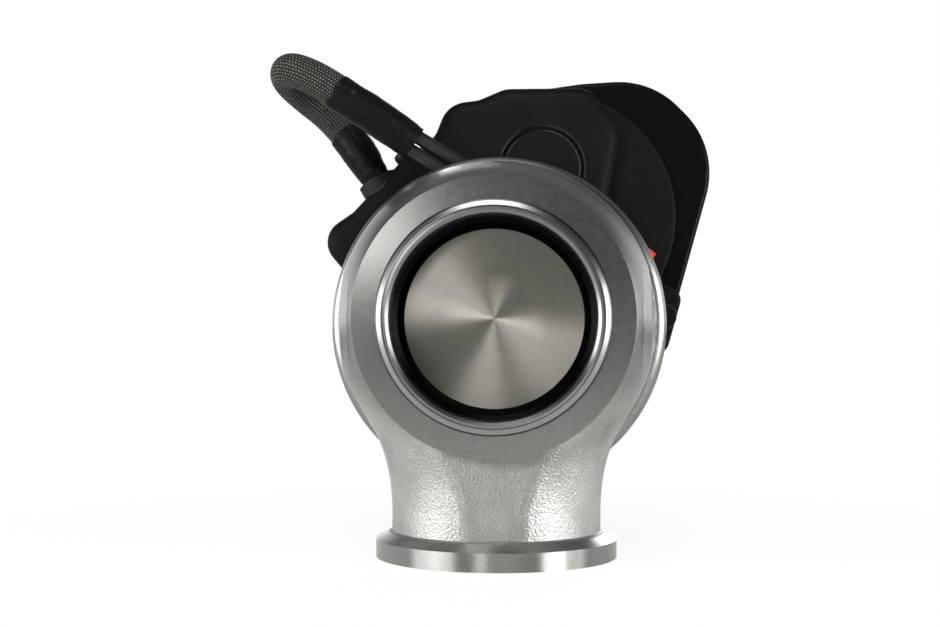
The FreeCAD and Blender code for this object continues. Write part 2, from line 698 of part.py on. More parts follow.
def rear_cover():
    """Moulded cover: skirt round the front flange, ears, dome with ribs, bearing and pin seats."""
    flange = slab(cover_outline(flange_y + skirt_drop), flange_t - skirt_drop + cover_ear_t)
    flange = flange.makeFillet(1.6, edges_at(flange, flange_y + skirt_drop))
    flange = flange.makeFillet(1.0, edges_at(flange, parting_y + cover_ear_t))
    dome = slab(dome_outline(parting_y), cover_len)
    dome = dome.makeFillet(dome_round, edges_at(dome, cover_back))
    shape = flange.fuse(dome)
    seat = slab(flange_outline(flange_y - 1).makeOffset2D(0.15), flange_front)
    seat = seat.common(Part.makeBox(400, parting_y - flange_y + 1, 400, V(-200, flange_y - 1, -200)))
    hollow = slab(inset(dome_outline(parting_y - 1), shell), cover_inside - parting_y + 1)
    shape = shape.cut([seat, hollow])
    bearing_y = cover_inside - part_gap - bearing_w
    boss = ring(bearing_r + 2.0, bearing_r, bearing_y, cover_inside)
    field = slab(inset(dome_outline(cover_back - 1), dome_round + 3), rib_h + 1)
    ribs = [Part.makeBox(rib_t, rib_h + 1, 200, V(x, cover_back - 1, -100)).common(field)
            for x in (-18.0, -4.0, 10.0, 24.0, 38.0, 52.0)]
    shape = shape.fuse([boss] + ribs)
    holes = [disc(ear_screw_r, parting_y - 1, cover_back, x, z) for x, z in ears]
    pin_hole = disc(pin_r, cover_inside - 1, cover_inside + 1.5, idler_x, idler_z)
    return shape.cut(holes + [pin_hole])


def cover_gasket():
    """Moulded seal in the joint of the two housing halves."""
    rim = flange_outline(parting_y - seal_groove)
    outer = slab(inset(rim, seal_edge), seal_groove)
    return outer.cut(slab(inset(rim, seal_edge + 1.5), seal_groove))


def cover_screws():
    seat = parting_y + cover_ear_t
    return group([screw(ear_screw_r, ear_head_r, ear_head_t, parting_y - 8.5, seat, x, z)
                  for x, z in ears])


def gear_bearing():
    """Shielded ball bearing of the final gear, as one closed ring with its shields set back."""
    y0 = cover_inside - part_gap - bearing_w
    inner = ring(hub_r + 1.2, hub_r + running, y0, y0 + bearing_w)
    outer = ring(bearing_r, bearing_r - 1.2, y0, y0 + bearing_w)
    shields = ring(bearing_r - 1.2, hub_r + 1.2, y0 + 0.3, y0 + bearing_w - 0.3)
    return inner.fuse([shields, outer])


def circuit_board():
    x, z = board_low
    board = Part.makeBox(board_size[0], board_t, board_size[1], V(x, board_y, z))
    return board.cut([disc(1.0, board_y - 1, board_y + 3, x + dx, z + dz)
                      for dx in (3.0, board_size[0] - 3.0) for dz in (3.0, board_size[1] - 3.0)])


def board_parts():
    """Capacitors, driver chip and terminal block on the board."""
    x, z = board_low
    top = board_y + board_t
    caps = [disc(3.5, top, top + 9.0, x + 6.5 + 9.0 * i, z + 27.0) for i in range(2)]
    chip = Part.makeBox(9, 2.2, 9, V(x + 9, top, z + 12))
    block = Part.makeBox(5, 7, 14, V(x + 1.0, top, z + 8.0))
    return group(caps + [chip, block])


# Cable. Points are (x, y, z) along the middle of a cord, with y behind the housing's front.
def carried(route):
    """A route's points in the part's own frame: the cords move with the housing."""
    return [(x, front_y + y, z) for x, y, z in route]


CABLE = carried([
    (-44.4, 8.5, 52.3), (-51.5, 9.3, 64.2), (-61.5, 10.0, 76.0), (-69.8, 8.2, 82.2), (-76.0, -1.5, 87.5),
    (-73.0, -13.0, 89.0), (-62.0, -16.2, 84.2), (-50.8, -15.0, 76.6), (-40.0, -12.7, 70.2), (-29.9, -9.5, 63.0)])
LEAD_A = carried([
    (-28.37, -9.5, 65.15), (-13.0, -4.4, 56.0), (4.0, -4.0, 47.6), (22.0, -3.9, 36.2), (33.6, -1.4, 26.9)])
LEAD_B = carried([
    (-31.43, -9.5, 60.85), (-16.2, -4.4, 51.6), (0.9, -4.0, 43.4), (18.9, -3.9, 32.0), (30.5, -1.4, 22.7)])
cable_exit = V(*CABLE[0])
cable_way = (V(*CABLE[1]) - V(*CABLE[0])).normalize()
gland_r = 7.2
gland_depth = 5.0


def cord_edges(name, route):
    """Straight runs joined by tangent arcs, as large as the shorter run beside each point allows."""
    points = [V(*p) for p in route]
    edges = []
    here = points[0]
    radii = []
    for i in range(1, len(points) - 1):
        back = points[i - 1] - points[i]
        ahead = points[i + 1] - points[i]
        reach = 0.45 * min(back.Length, ahead.Length)
        back.normalize()
        ahead.normalize()
        half = back.getAngle(ahead) / 2
        radius = reach * math.tan(half)
        radii.append(round(radius, 1))
        start = points[i] + back * reach
        end = points[i] + ahead * reach
        middle = points[i] + (back + ahead).normalize() * (radius / math.sin(half) - radius)
        edges.append(Part.LineSegment(here, start).toShape())
        edges.append(Part.Arc(start, middle, end).toShape())
        here = end
    edges.append(Part.LineSegment(here, points[-1]).toShape())
    print(name, "bend radii", radii)
    return edges


def cord_tube(name, edges, radius):
    """Round tube along the edges; its volume is compared with section times length."""
    wire = Part.Wire(edges)
    start = edges[0].valueAt(edges[0].FirstParameter)
    way = edges[0].tangentAt(edges[0].FirstParameter)
    section = Part.Wire([Part.makeCircle(radius, start, way)])
    tube = wire.makePipeShell([section], True, True)
    ideal = math.pi * radius ** 2 * wire.Length
    print(name, "length", round(wire.Length, 1), "volume ratio", round(tube.Volume / ideal, 4))
    return tube


def split_line(edge):
    """A straight edge cut in two at its middle."""
    a, b = (v.Point for v in edge.Vertexes)
    middle = (a + b) * 0.5
    return Part.LineSegment(a, middle).toShape(), Part.LineSegment(middle, b).toShape()


def cable_nodes():
    """Lower heat-shrink, braided loop and upper heat-shrink, end to end along one route."""
    edges = cord_edges("cable", CABLE)
    low_a, low_b = split_line(edges[2])
    high_a, high_b = split_line(edges[12])
    return {
        "lower_heat_shrink": cord_tube("lower_heat_shrink", edges[:2] + [low_a], shrink_r),
        "braided_cable": cord_tube("braided_cable", [low_b] + edges[3:12] + [high_a], cable_r),
        "upper_heat_shrink": cord_tube("upper_heat_shrink", [high_b] + edges[13:], shrink_r),
    }


def cable_gland():
    """Rubber gland in the housing's flank; the heat-shrink butts against it."""
    body = Part.makeCylinder(gland_r, gland_depth, cable_exit - cable_way * gland_depth, cable_way)
    tail = Part.makeCylinder(cable_r - 1.5, 8.0, cable_exit - cable_way * (gland_depth + 8.0), cable_way)
    return body.fuse(tail)


# Parked connector of the harness
plug_long = 20.0
plug_wide = 17.0
plug_thick = 10.0
lock_out = 5.6
lead_way = (V(LEAD_A[-1][0], 0, LEAD_A[-1][2]) - V(LEAD_A[-2][0], 0, LEAD_A[-2][2])).normalize()
lead_side = V(-lead_way.z, 0, lead_way.x)
plug_start = (V(*LEAD_A[-1]) + V(*LEAD_B[-1])) * 0.5


def plug_box(along0, along1, side0, side1, depth0, depth1):
    """Box in the connector's own directions, from the middle of its rear face."""
    corner = plug_start + lead_way * along0 + lead_side * side0 + V(0, depth0, 0)
    edges = [lead_way * (along1 - along0), lead_side * (side1 - side0)]
    loop = [corner, corner + edges[0], corner + edges[0] + edges[1], corner + edges[1], corner]
    return Part.Face(Part.makePolygon(loop)).extrude(V(0, depth1 - depth0, 0))


def connector_plug():
    """Two-way connector body with a collar, latch rails and two contact holes."""
    half = plug_wide / 2
    low = -plug_thick / 2
    body = plug_box(0, plug_long, -half, half, low, low + plug_thick)
    body = body.makeFillet(1.5, [e for e in body.Edges if e.Length > plug_long - 0.1])
    collar = plug_box(plug_long * 0.35, plug_long * 0.45, -half - 0.8, half + 0.8, low - 0.8, low + plug_thick)
    rails = [plug_box(2, plug_long * 0.35, s - 0.8, s + 0.8, low - 1.0, low + 1) for s in (-3.5, 3.5)]
    holes = [Part.makeCylinder(1.6, 7.0, plug_start + lead_way * (plug_long - 6.5) + lead_side * s, lead_way)
             for s in (-lead_apart / 2, lead_apart / 2)]
    sockets = []
    for route in (LEAD_A, LEAD_B):
        end = V(*route[-1])
        way = (end - V(*route[-2])).normalize()
        sockets.append(Part.makeCylinder(lead_r + running, 2.0, end - way * 2.0, way))
    return body.fuse([collar] + rails).cut(holes + sockets)


def connector_lock():
    """Red slide that secures the connector's latch."""
    half = plug_wide / 2
    tab = plug_box(plug_long * 0.68, plug_long * 0.9, half, half + lock_out, -2.0, 2.0)
    return tab.makeFillet(0.8, tab.Edges[:4])


def connector_clip():
    """Cradle on the housing that the connector is pushed into."""
    half = plug_wide / 2
    floor_y = flange_y - plug_start.y
    back = plug_thick / 2
    base = plug_box(9.6, 18, -half, half, back, floor_y)
    arms = [plug_box(9.6, 13.0, half, half + 1.8, -1.5, floor_y),
            plug_box(9.6, 18.0, -half - 1.8, -half, -1.5, floor_y)]
    return base.fuse(arms).removeSplitter()


PARTS = {
    "valve_body": valve_body, "seat_ring": seat_ring, "bonnet_gasket": bonnet_gasket, "bonnet": bonnet,
    "bonnet_screws": bonnet_screw_set, "stem_guide": stem_guide, "posts": posts, "post_screws": post_screws,
    "front_housing": front_housing, "rod_seal": rod_seal, "rear_cover": rear_cover,
    "cover_gasket": cover_gasket, "cover_screws": cover_screws, "guide_sleeve": guide_sleeve,
    "sleeve_screws": sleeve_screws, "gear_bearing": gear_bearing, "idler_pin": idler_pin,
    "motor_can": motor_can, "motor_end_cap": motor_end_cap, "motor_magnets": motor_magnets,
    "motor_bearings": motor_bearings, "circuit_board": circuit_board, "board_parts": board_parts,
    "cable_gland": cable_gland, "connector_plug": connector_plug, "connector_lock": connector_lock,
    "connector_clip": connector_clip,
    "valve": valve, "crosshead": crosshead, "cross_pin": cross_pin, "pin_rollers": pin_rollers,
    "final_gear": final_gear, "cam_barrel": cam_barrel, "sensor_magnet": sensor_magnet,
    "idler_wheel": idler_wheel, "idler_pinion": idler_pinion,
    "motor_rotor": motor_rotor, "motor_pinion": motor_pinion,
}


def main():
    os.makedirs("parts", exist_ok=True)
    shapes = {name: make() for name, make in PARTS.items()}
    guide_end = bonnet_y - bonnet_boss_len + guide_len
    shapes["inner_stem_seal"] = stem_seal(guide_end)
    shapes["outer_stem_seal"] = stem_seal(bonnet_back - seal_t)
    shapes.update(cable_nodes())
    for name, route in (("lead_a", LEAD_A), ("lead_b", LEAD_B)):
        shapes[name] = cord_tube(name, cord_edges(name, route), lead_r)
    for name, shape in shapes.items():
        print(name, len(shape.Solids), shape.isValid(), round(shape.Volume))
        shape.exportStep("parts/" + name + ".step")


main()
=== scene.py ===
"""Turbo wastegate, dressed: finishes for the machine's own parts, its braided cable with
heat-shrink sleeves, its two leads, the vent cap, and the stage.

Metres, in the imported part's own frame: the gas comes in along +Y, leaves along -Z, X is to the right.
Lengths that read better in millimetres are multiplied by MM.
"""
import json
import math
import bpy
from mathutils import Matrix, Vector, noise


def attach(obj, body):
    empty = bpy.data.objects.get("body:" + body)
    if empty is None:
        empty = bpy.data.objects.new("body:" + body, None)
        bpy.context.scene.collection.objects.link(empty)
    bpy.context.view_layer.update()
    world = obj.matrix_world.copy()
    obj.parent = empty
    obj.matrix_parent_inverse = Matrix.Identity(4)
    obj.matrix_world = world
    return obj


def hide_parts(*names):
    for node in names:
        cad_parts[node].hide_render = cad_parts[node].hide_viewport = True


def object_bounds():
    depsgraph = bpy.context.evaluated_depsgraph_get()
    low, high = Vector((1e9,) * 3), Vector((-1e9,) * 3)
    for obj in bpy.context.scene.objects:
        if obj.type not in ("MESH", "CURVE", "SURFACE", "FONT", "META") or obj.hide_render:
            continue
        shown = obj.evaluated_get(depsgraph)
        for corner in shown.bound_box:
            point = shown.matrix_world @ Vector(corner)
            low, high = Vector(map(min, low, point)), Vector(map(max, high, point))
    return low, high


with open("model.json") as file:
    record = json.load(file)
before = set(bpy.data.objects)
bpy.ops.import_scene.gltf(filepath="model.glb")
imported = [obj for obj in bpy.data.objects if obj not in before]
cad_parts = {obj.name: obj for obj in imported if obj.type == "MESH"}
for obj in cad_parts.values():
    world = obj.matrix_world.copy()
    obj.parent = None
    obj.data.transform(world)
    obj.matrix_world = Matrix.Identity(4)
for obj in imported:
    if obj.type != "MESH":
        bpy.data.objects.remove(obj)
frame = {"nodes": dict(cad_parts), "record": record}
CAD_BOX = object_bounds()
FLOOR_Z = CAD_BOX[0][2]
OUTLET_FACE = next(m["pos_m"] for m in frame["record"]["mounts"] if m["name"] == "outlet_face")

bl_info = {
    "name": "Turbo wastegate",
    "version": (1, 0, 0),
    "blender": (4, 5, 0),
    "location": "3D View > Sidebar > Wastegate",
    "description": "Builds and finishes an electrically driven turbo wastegate on its packed frame",
    "category": "Object",
}

MM = 0.001

# Cord routes: points along the middle of each cord, in metres, as in the part's source
CABLE_ROUTE = [
    (-0.0444, 0.1015, 0.0523), (-0.0515, 0.1023, 0.0642), (-0.0615, 0.1030, 0.0760),
    (-0.0698, 0.1012, 0.0822), (-0.0760, 0.0915, 0.0875), (-0.0730, 0.0800, 0.0890),
    (-0.0620, 0.0768, 0.0842), (-0.0508, 0.0780, 0.0766), (-0.0400, 0.0803, 0.0702),
    (-0.0299, 0.0835, 0.0630)]
LEAD_A_ROUTE = [
    (-0.0304, 0.0828, 0.0664), (-0.0130, 0.0886, 0.0560), (0.0040, 0.0890, 0.0476),
    (0.0220, 0.0891, 0.0362), (0.0336, 0.0916, 0.0269)]
LEAD_B_ROUTE = [
    (-0.0335, 0.0828, 0.0621), (-0.0162, 0.0886, 0.0516), (0.0009, 0.0890, 0.0434),
    (0.0189, 0.0891, 0.0320), (0.0305, 0.0916, 0.0227)]

# Legs of the cable's route, counted from 0 at the gland: the lower sleeve stops in the middle of the
# first and the upper sleeve begins in the middle of the second
SLEEVE_LEGS = (1, 6)

# Outlines of the turned rubber pieces, in millimetres: distance along the piece, radius
SEAL_PROFILE = [(0.0, 2.55), (0.0, 3.0), (0.5, 3.4), (1.0, 3.4), (1.3, 3.0), (1.7, 3.0), (2.0, 3.5),
                (2.6, 3.5), (2.9, 3.1), (3.7, 3.1), (3.7, 2.5)]
SEAL_BACK = 4.2           # from the seal's start to the lead's end
VENT_PROFILE = [(-1.5, 3.2), (0.0, 3.2), (0.3, 3.9), (2.0, 4.0), (2.8, 3.7), (3.2, 2.9), (3.3, 0.6)]
VENT_PLACE = (-0.0335, 0.1010, 0.0600)
VENT_WAY = (-0.58, 0.0, 0.814)

# Camera of the photograph, solved from its circles: its place, and the directions to its right and up
CAMERA_PLACE = (0.009540, -0.395849, -0.010454)
CAMERA_RIGHT = (0.99917, 0.04072, 0.00095)
CAMERA_UP = (0.00024, -0.02921, 0.99957)

# Studio lamps: name, place, what it points at, its two sides, and its power as a multiple of the key or
# the fill light. Two boxes stand at each side, one above, one behind the part, and a small card behind
# the camera, above it and to its left.
LAMPS = (
    ("left_spot_box", (-0.62, -0.44, 0.02), (0, 0, 0), (0.30, 0.26), "key", 0.60),
    ("right_spot_box", (0.62, -0.44, 0.04), (0, 0, 0), (0.30, 0.28), "key", 1.05),
    ("left_soft_box", (-0.85, -0.22, 0.10), (0, 0.04, 0), (0.40, 0.50), "key", 1.15),
    ("right_soft_box", (0.85, -0.22, 0.05), (0, 0.04, 0), (0.40, 0.50), "key", 0.75),
    ("top_soft_box", (-0.05, -0.42, 0.62), (0, 0, 0), (0.34, 0.20), "fill", 1.30),
    ("camera_card", (-0.21, -0.60, 0.13), (0, 0, 0), (0.12, 0.12), "fill", 0.31),
    ("back_soft_box", (0.08, 0.95, 0.30), (0, 0.1, 0.02), (0.5, 0.4), "fill", 1.60))


# Colours and settings
def linear(code):
    """Linear RGBA of an sRGB hex colour."""
    channels = [int(code[i:i + 2], 16) / 255 for i in (1, 3, 5)]
    return tuple(c / 12.92 if c <= 0.04045 else ((c + 0.055) / 1.055) ** 2.4 for c in channels) + (1.0,)


def shade(colour, amount):
    """The same colour, lighter or darker."""
    return tuple(min(1.0, c * amount) for c in colour[:3]) + (1.0,)


def swatch(name, description, code):
    """Colour property with its default."""
    return bpy.props.FloatVectorProperty(
        name=name, description=description, default=linear(code), size=4, subtype="COLOR", min=0, max=1)


def length(name, description, millimetres):
    """Length property with its default."""
    return bpy.props.FloatProperty(
        name=name, description=description, default=millimetres * MM, min=0, subtype="DISTANCE",
        unit="LENGTH")


class CordSizes(bpy.types.PropertyGroup):
    """Sizes of the cable, its sleeves and the leads."""
    cable_radius: length("Cable radius", "Outside radius of the braided sleeve", 6.0)
    shrink_radius: length("Heat-shrink radius", "Outside radius of the heat-shrink sleeves", 6.8)
    lead_radius: length("Lead radius", "Outside radius of a lead", 2.5)
    strand_pitch: length("Strand pitch", "Distance between two flecks along the braid", 0.92)
    wrinkle: length("Wrinkle depth", "Depth of the wrinkles in the heat-shrink", 0.16)


class FinishColours(bpy.types.PropertyGroup):
    """Colours of the finishes."""
    cast: swatch("Cast steel", "Bead-blasted casting", "#A3A3A0")
    turned: swatch("Turned steel", "Machined flanges and bonnet", "#8E8E8B")
    valve: swatch("Valve steel", "Turned face of the valve", "#918E86")
    housing: swatch("Housing", "Powder-coated die casting", "#0A0A08")
    cover: swatch("Cover", "Moulded rear cover", "#060606")
    braid_dark: swatch("Braid ground", "Dark strands of the braid", "#111110")
    braid_light: swatch("Braid fleck", "Light strands of the braid", "#66665D")
    shrink: swatch("Heat-shrink", "Polyolefin sleeve", "#0A0A0B")
    lock: swatch("Connector lock", "Red slide of the connector", "#D8331C")


class StageLook(bpy.types.PropertyGroup):
    """Light and camera of the studio."""
    key: bpy.props.FloatProperty(
        name="Key light", description="Base power of the boxes at both sides", default=4.5, min=0,
        unit="POWER")
    fill: bpy.props.FloatProperty(
        name="Fill light", description="Base power of the top box, the back box and the camera card",
        default=3.0, min=0, unit="POWER")
    lens: bpy.props.FloatProperty(
        name="Lens", description="Focal length on a 36 mm sensor", default=52.99, min=10, unit="CAMERA")


def settings():
    """The scene's sizes, colours and stage settings."""
    scene = bpy.context.scene
    return scene.cord_sizes, scene.finish_colours, scene.stage_look


# Shader graphs
def add(tree, kind, inputs=(), output=0, **looks):
    """Add a shader node with its settings, link or set its inputs, and give back one of its outputs.

    Inputs are a list in the order of the node's sockets, or a dictionary by socket. Each is a value, or
    another node's output, which is linked.
    """
    node = tree.nodes.new("ShaderNode" + kind)
    for name, value in looks.items():
        setattr(node, name, value)
    sockets = inputs if isinstance(inputs, dict) else dict(enumerate(inputs))
    for name, value in sockets.items():
        if isinstance(value, bpy.types.NodeSocket):
            tree.links.new(value, node.inputs[name])
        else:
            node.inputs[name].default_value = value
    return node.outputs[output] if len(node.outputs) else None


def new_material(name):
    """Empty material that uses nodes."""
    material = bpy.data.materials.new(name)
    material.use_nodes = True
    material.node_tree.nodes.clear()
    return material


def per_mm(size):
    """Scale of a pattern whose feature is this many millimetres across, in object coordinates."""
    return 1.0 / (size * MM)


def edge_at(place, blur):
    """Both ends of a soft edge at a place, all in millimetres; gives metres."""
    return (place - blur / 2) * MM, (place + blur / 2) * MM


AXIS_Y = (0.0, 1.0, 0.0)
AXIS_Z = (0.0, 0.0, 1.0)
FEED_SLANT = 0.20         # tool marks are a spiral, a little off the circle
SEAT_GROOVES = ((31.9, 0.16), (33.8, 0.35))       # dark rings on the seat's front, painted shade of its grooves: radius, half width, mm
FLECK_WIDTH = 1.18        # millimetres round the cable from one row of flecks to the next


class Finish:
    """One material being built: its tree, the place on the object, and its parts along X, Y and Z."""

    def __init__(self, name):
        self.material = new_material(name)
        coordinates = self.add("TexCoord").node.outputs
        self.place, self.normal, self.uv = coordinates["Object"], coordinates["Normal"], coordinates["UV"]
        self.x, self.y, self.z = self.add("SeparateXYZ", [self.place]).node.outputs

    def add(self, kind, inputs=(), output=0, **looks):
        """Add a node to this material."""
        return add(self.material.node_tree, kind, inputs, output, **looks)

    def across(self, axis, centre=(0.0, 0.0, 0.0)):
        """Direction across the marks of turning about an axis, which is the way they draw light out."""
        arm = self.add("VectorMath", [self.place, centre], operation="SUBTRACT")
        marks = self.add("VectorMath", [axis, arm], operation="CROSS_PRODUCT")
        outward = self.add("VectorMath", [marks, self.normal], operation="CROSS_PRODUCT")
        drift = self.add("VectorMath", [marks, (FEED_SLANT,) * 3], operation="MULTIPLY")
        slanted = self.add("VectorMath", [outward, drift], operation="ADD")
        return self.add("VectorMath", [slanted], operation="NORMALIZE")

    def radius(self):
        """Distance from the valve's centre line."""
        flat = self.add("CombineXYZ", {0: self.x, 2: self.z})
        return self.add("VectorMath", [flat], "Value", operation="LENGTH")

    def close(self, colour, roughness, height, depth, looks, edge=0.0):
        """Close the graph with one surface; gives the material.

        Height is the relief from 0 to 1 and depth its size in millimetres. Looks are further inputs of
        the surface by socket. An edge in millimetres eases sharp edges, as a coat or a mould does.
        """
        relief = {"Height": height, "Distance": depth * MM, "Strength": 1.0}
        if edge:
            relief["Normal"] = self.add("Bevel", {"Radius": edge * MM}, samples=4)
        normal = self.add("Bump", relief)
        surface = self.add("BsdfPrincipled", {
            "Base Color": colour, "Roughness": roughness, "Normal": normal, **looks})
        self.add("OutputMaterial", {"Surface": surface})
        return self.material


# Where the casting's finish changes, in millimetres
INLET_TURNED_TO = 11.0    # Y, from the inlet's face
OUTLET_TURNED_TO = OUTLET_FACE[2] / MM + 7.7      # Z, from the outlet's face
REAR_TURNED_FROM = 76.3   # Y, the face that takes the bonnet
GROUND_FROM = 45.55       # distance of the ground flats from the valve's centre line, at either side
DARK_LINE_AT = 45.3            # the dark line along the flats' edge
GROUND_HALF_HEIGHT = 16.5
GROUND_DROP = 3.0         # how far the flats' middle lies below the centre line
RAGGED = 2.4              # how far the flats' edge wanders


def blasted_casting(colours):
    """Investment cast stainless steel, bead blasted all over, then turned at both clamp flanges.

    The blasting leaves a bright, even orange peel; the turned faces are smooth, darker and mottled. The
    upper front of the body is smoother, darker and satin. A flat ground at each side has a ragged edge
    with a dark line along it. Real pits are finer than the picture can show, so they are drawn coarser.
    """
    f = Finish("stainless_steel_bead_blasted_casting")
    inlet = f.add("MapRange", [f.y, *edge_at(INLET_TURNED_TO, 0.4), 1.0, 0.0])
    outlet = f.add("MapRange", [f.z, *edge_at(OUTLET_TURNED_TO, 0.4), 1.0, 0.0])
    rear = f.add("MapRange", [f.y, *edge_at(REAR_TURNED_FROM, 0.2)])
    flanges = f.add("Math", [inlet, outlet], operation="MAXIMUM")
    turned = f.add("Math", [flanges, rear], operation="MAXIMUM")
    upper = f.add("MapRange", [f.z, -30.0 * MM, -18.0 * MM])
    front = f.add("MapRange", [f.y, 30.0 * MM, 45.0 * MM, 1.0, 0.0])
    satin = f.add("Math", [upper, front], operation="MULTIPLY")

    # The ground flats and the dark line along their edge
    wander = f.add("TexNoise", {"Vector": f.place, "Scale": per_mm(4.0), "Detail": 4.0})
    width = f.add("Math", [f.x], operation="ABSOLUTE")
    side = f.add("Math", [wander, RAGGED * MM, width], operation="MULTIPLY_ADD")
    above = f.add("Math", [f.z, GROUND_DROP * MM], operation="ADD")
    off = f.add("Math", [above], operation="ABSOLUTE")
    tall = f.add("MapRange", [off, *edge_at(GROUND_HALF_HEIGHT, 2.0), 1.0, 0.0])
    blasted = f.add("MapRange", [f.y, *edge_at(INLET_TURNED_TO, 0.4)])
    fading = f.add("MapRange", [f.y, 14.0 * MM, 30.0 * MM, 1.0, 0.0])
    deep = f.add("Math", [blasted, fading], operation="MULTIPLY")
    patch = f.add("Math", [tall, deep], operation="MULTIPLY")
    beyond = f.add("MapRange", [side, *edge_at(GROUND_FROM, 0.3)])
    ground = f.add("Math", [beyond, patch], operation="MULTIPLY")
    from_dark_line = f.add("Math", [side, DARK_LINE_AT * MM], operation="SUBTRACT")
    beside = f.add("Math", [from_dark_line], operation="ABSOLUTE")
    crest = f.add("MapRange", [beside, 0.15 * MM, 0.40 * MM, 1.0, 0.0])
    dark_line = f.add("Math", [crest, patch], operation="MULTIPLY")

    # Orange peel
    grain = f.add("TexNoise", {"Vector": f.place, "Scale": per_mm(0.6), "Detail": 2.0})
    dimples = f.add("TexVoronoi", {"Vector": f.place, "Scale": per_mm(0.85)})
    peel = f.add("Math", [dimples, 0.5, grain], operation="MULTIPLY_ADD")
    fine = f.add("Math", [satin, 0.9], operation="MULTIPLY")
    smoothed = f.add("Math", [turned, fine], operation="MAXIMUM")
    left = f.add("Math", [1.0, smoothed], operation="SUBTRACT")
    height = f.add("Math", [peel, left], operation="MULTIPLY")

    # Colours of the blasted, turned and ground steel
    cloud = f.add("TexNoise", {"Vector": f.place, "Scale": per_mm(16.0), "Detail": 3.0})
    mottle = f.add("TexNoise", {"Vector": f.place, "Scale": per_mm(2.2), "Detail": 5.0})
    drawn = f.add("VectorMath", [f.place, (1.0, 1.0, 0.05)], operation="MULTIPLY")
    streak = f.add("TexNoise", {"Vector": drawn, "Scale": per_mm(0.5), "Detail": 3.0})
    pits = f.add("MapRange", [grain, 0.3, 0.7])
    cast = f.add("Mix", {0: pits, 6: shade(colours.cast, 0.86), 7: shade(colours.cast, 1.12)}, 2,
                 data_type="RGBA")
    dull = f.add("MapRange", [cloud, 0.42, 0.7, 0.0, 0.7])
    cast = f.add("Mix", {0: dull, 6: cast, 7: shade(colours.cast, 0.62)}, 2, data_type="RGBA")
    cast = f.add("Mix", {0: fine, 6: cast, 7: shade(colours.cast, 0.6)}, 2, data_type="RGBA")
    stain = f.add("MapRange", [mottle, 0.35, 0.7])
    smooth = f.add("Mix", {0: stain, 6: shade(colours.turned, 0.88), 7: colours.turned}, 2, data_type="RGBA")
    colour = f.add("Mix", {0: turned, 6: cast, 7: smooth}, 2, data_type="RGBA")
    strokes = f.add("Mix", {0: streak, 6: shade(colours.cast, 0.8), 7: shade(colours.cast, 1.3)}, 2,
                    data_type="RGBA")
    stroked = f.add("Math", [ground, 0.8], operation="MULTIPLY")
    colour = f.add("Mix", {0: stroked, 6: colour, 7: strokes}, 2, data_type="RGBA")
    # A dark line along the flats' ragged edge
    thin = f.add("Math", [dark_line, 0.5], operation="MULTIPLY")
    colour = f.add("Mix", {0: thin, 6: colour, 7: linear("#40403D")}, 2, data_type="RGBA")

    # Gloss: the inlet flange is turned smoother than the outlet's rim
    blasted_rough = f.add("MapRange", [satin, 0.0, 1.0, 0.44, 0.32])
    inlet_rough = f.add("MapRange", [mottle, 0.3, 0.7, 0.28, 0.23])
    turned_rough = f.add("Math", [outlet, 0.07, inlet_rough], operation="MULTIPLY_ADD")
    rough = f.add("Mix", {0: turned, 2: blasted_rough, 3: turned_rough})
    around_outlet = f.across(AXIS_Z, (OUTLET_FACE[0], OUTLET_FACE[1], 0.0))
    tangent = f.add("Mix", {0: outlet, 4: f.across(AXIS_Y), 5: around_outlet}, 1, data_type="VECTOR")
    pull = f.add("MapRange", [outlet, 0.0, 1.0, 0.5, 0.95])
    return f.close(colour, rough, height, 0.14, {"Metallic": 1.0, "Anisotropic": pull, "Tangent": tangent})


def turned_steel(name, colour, roughness, anisotropy, outer=None, rim=None, bore=None):
    """Steel turned on a lathe: fine rings of tool marks, which draw highlights out into fans.

    Real marks are finer than the picture can show, so they are drawn coarser. Outer is the colour
    further out from the centre line. Beyond the rim radius the edge is painted nearly black, as shade;
    inside the bore radius the bore is painted dark, as shade, and the seat's grooves are painted as dark
    rings of shade. Both radii are in millimetres.
    """
    f = Finish(name)
    radius = f.radius()
    mottle = f.add("TexNoise", {"Vector": f.place, "Scale": per_mm(3.0), "Detail": 5.0})
    rings = f.add("TexNoise", {"Vector": radius, "Scale": per_mm(0.45), "Detail": 2.0})
    stain = f.add("MapRange", [mottle, 0.35, 0.7])
    base = f.add("Mix", {0: stain, 6: shade(colour, 0.93), 7: colour}, 2, data_type="RGBA")
    if outer:
        outwards = f.add("MapRange", [radius, 18.0 * MM, 30.0 * MM])
        base = f.add("Mix", {0: outwards, 6: base, 7: outer}, 2, data_type="RGBA")
    # Painted shade: nearly black beyond the rim radius
    if rim:
        beyond = f.add("MapRange", [radius, rim * MM, (rim + 0.1) * MM])
        base = f.add("Mix", {0: beyond, 6: base, 7: linear("#1E1D1B")}, 2, data_type="RGBA")
    # Painted shade: the bore painted dark
    if bore:
        inside = f.add("MapRange", [radius, bore * MM, (bore + 0.15) * MM, 1.0, 0.0])
        base = f.add("Mix", {0: inside, 6: base, 7: linear("#161615")}, 2, data_type="RGBA")
        front = f.add("MapRange", [f.y, *edge_at(4.1, 0.2), 1.0, 0.0])
        # Painted shade: dark rings in the grooves on the seat's front
        for groove, width in SEAT_GROOVES:
            off = f.add("Math", [radius, groove * MM], operation="SUBTRACT")
            beside = f.add("Math", [off], operation="ABSOLUTE")
            dark = f.add("MapRange", [beside, width * 0.6 * MM, width * MM, 0.9, 0.0])
            line = f.add("Math", [dark, front], operation="MULTIPLY")
            base = f.add("Mix", {0: line, 6: base, 7: linear("#2A2A28")}, 2, data_type="RGBA")
    rough = f.add("MapRange", [rings, 0.3, 0.7, roughness * 0.94, roughness * 1.06])
    return f.close(base, rough, rings, 0.0008, {
        "Metallic": 1.0, "Anisotropic": anisotropy, "Tangent": f.across(AXIS_Y)})


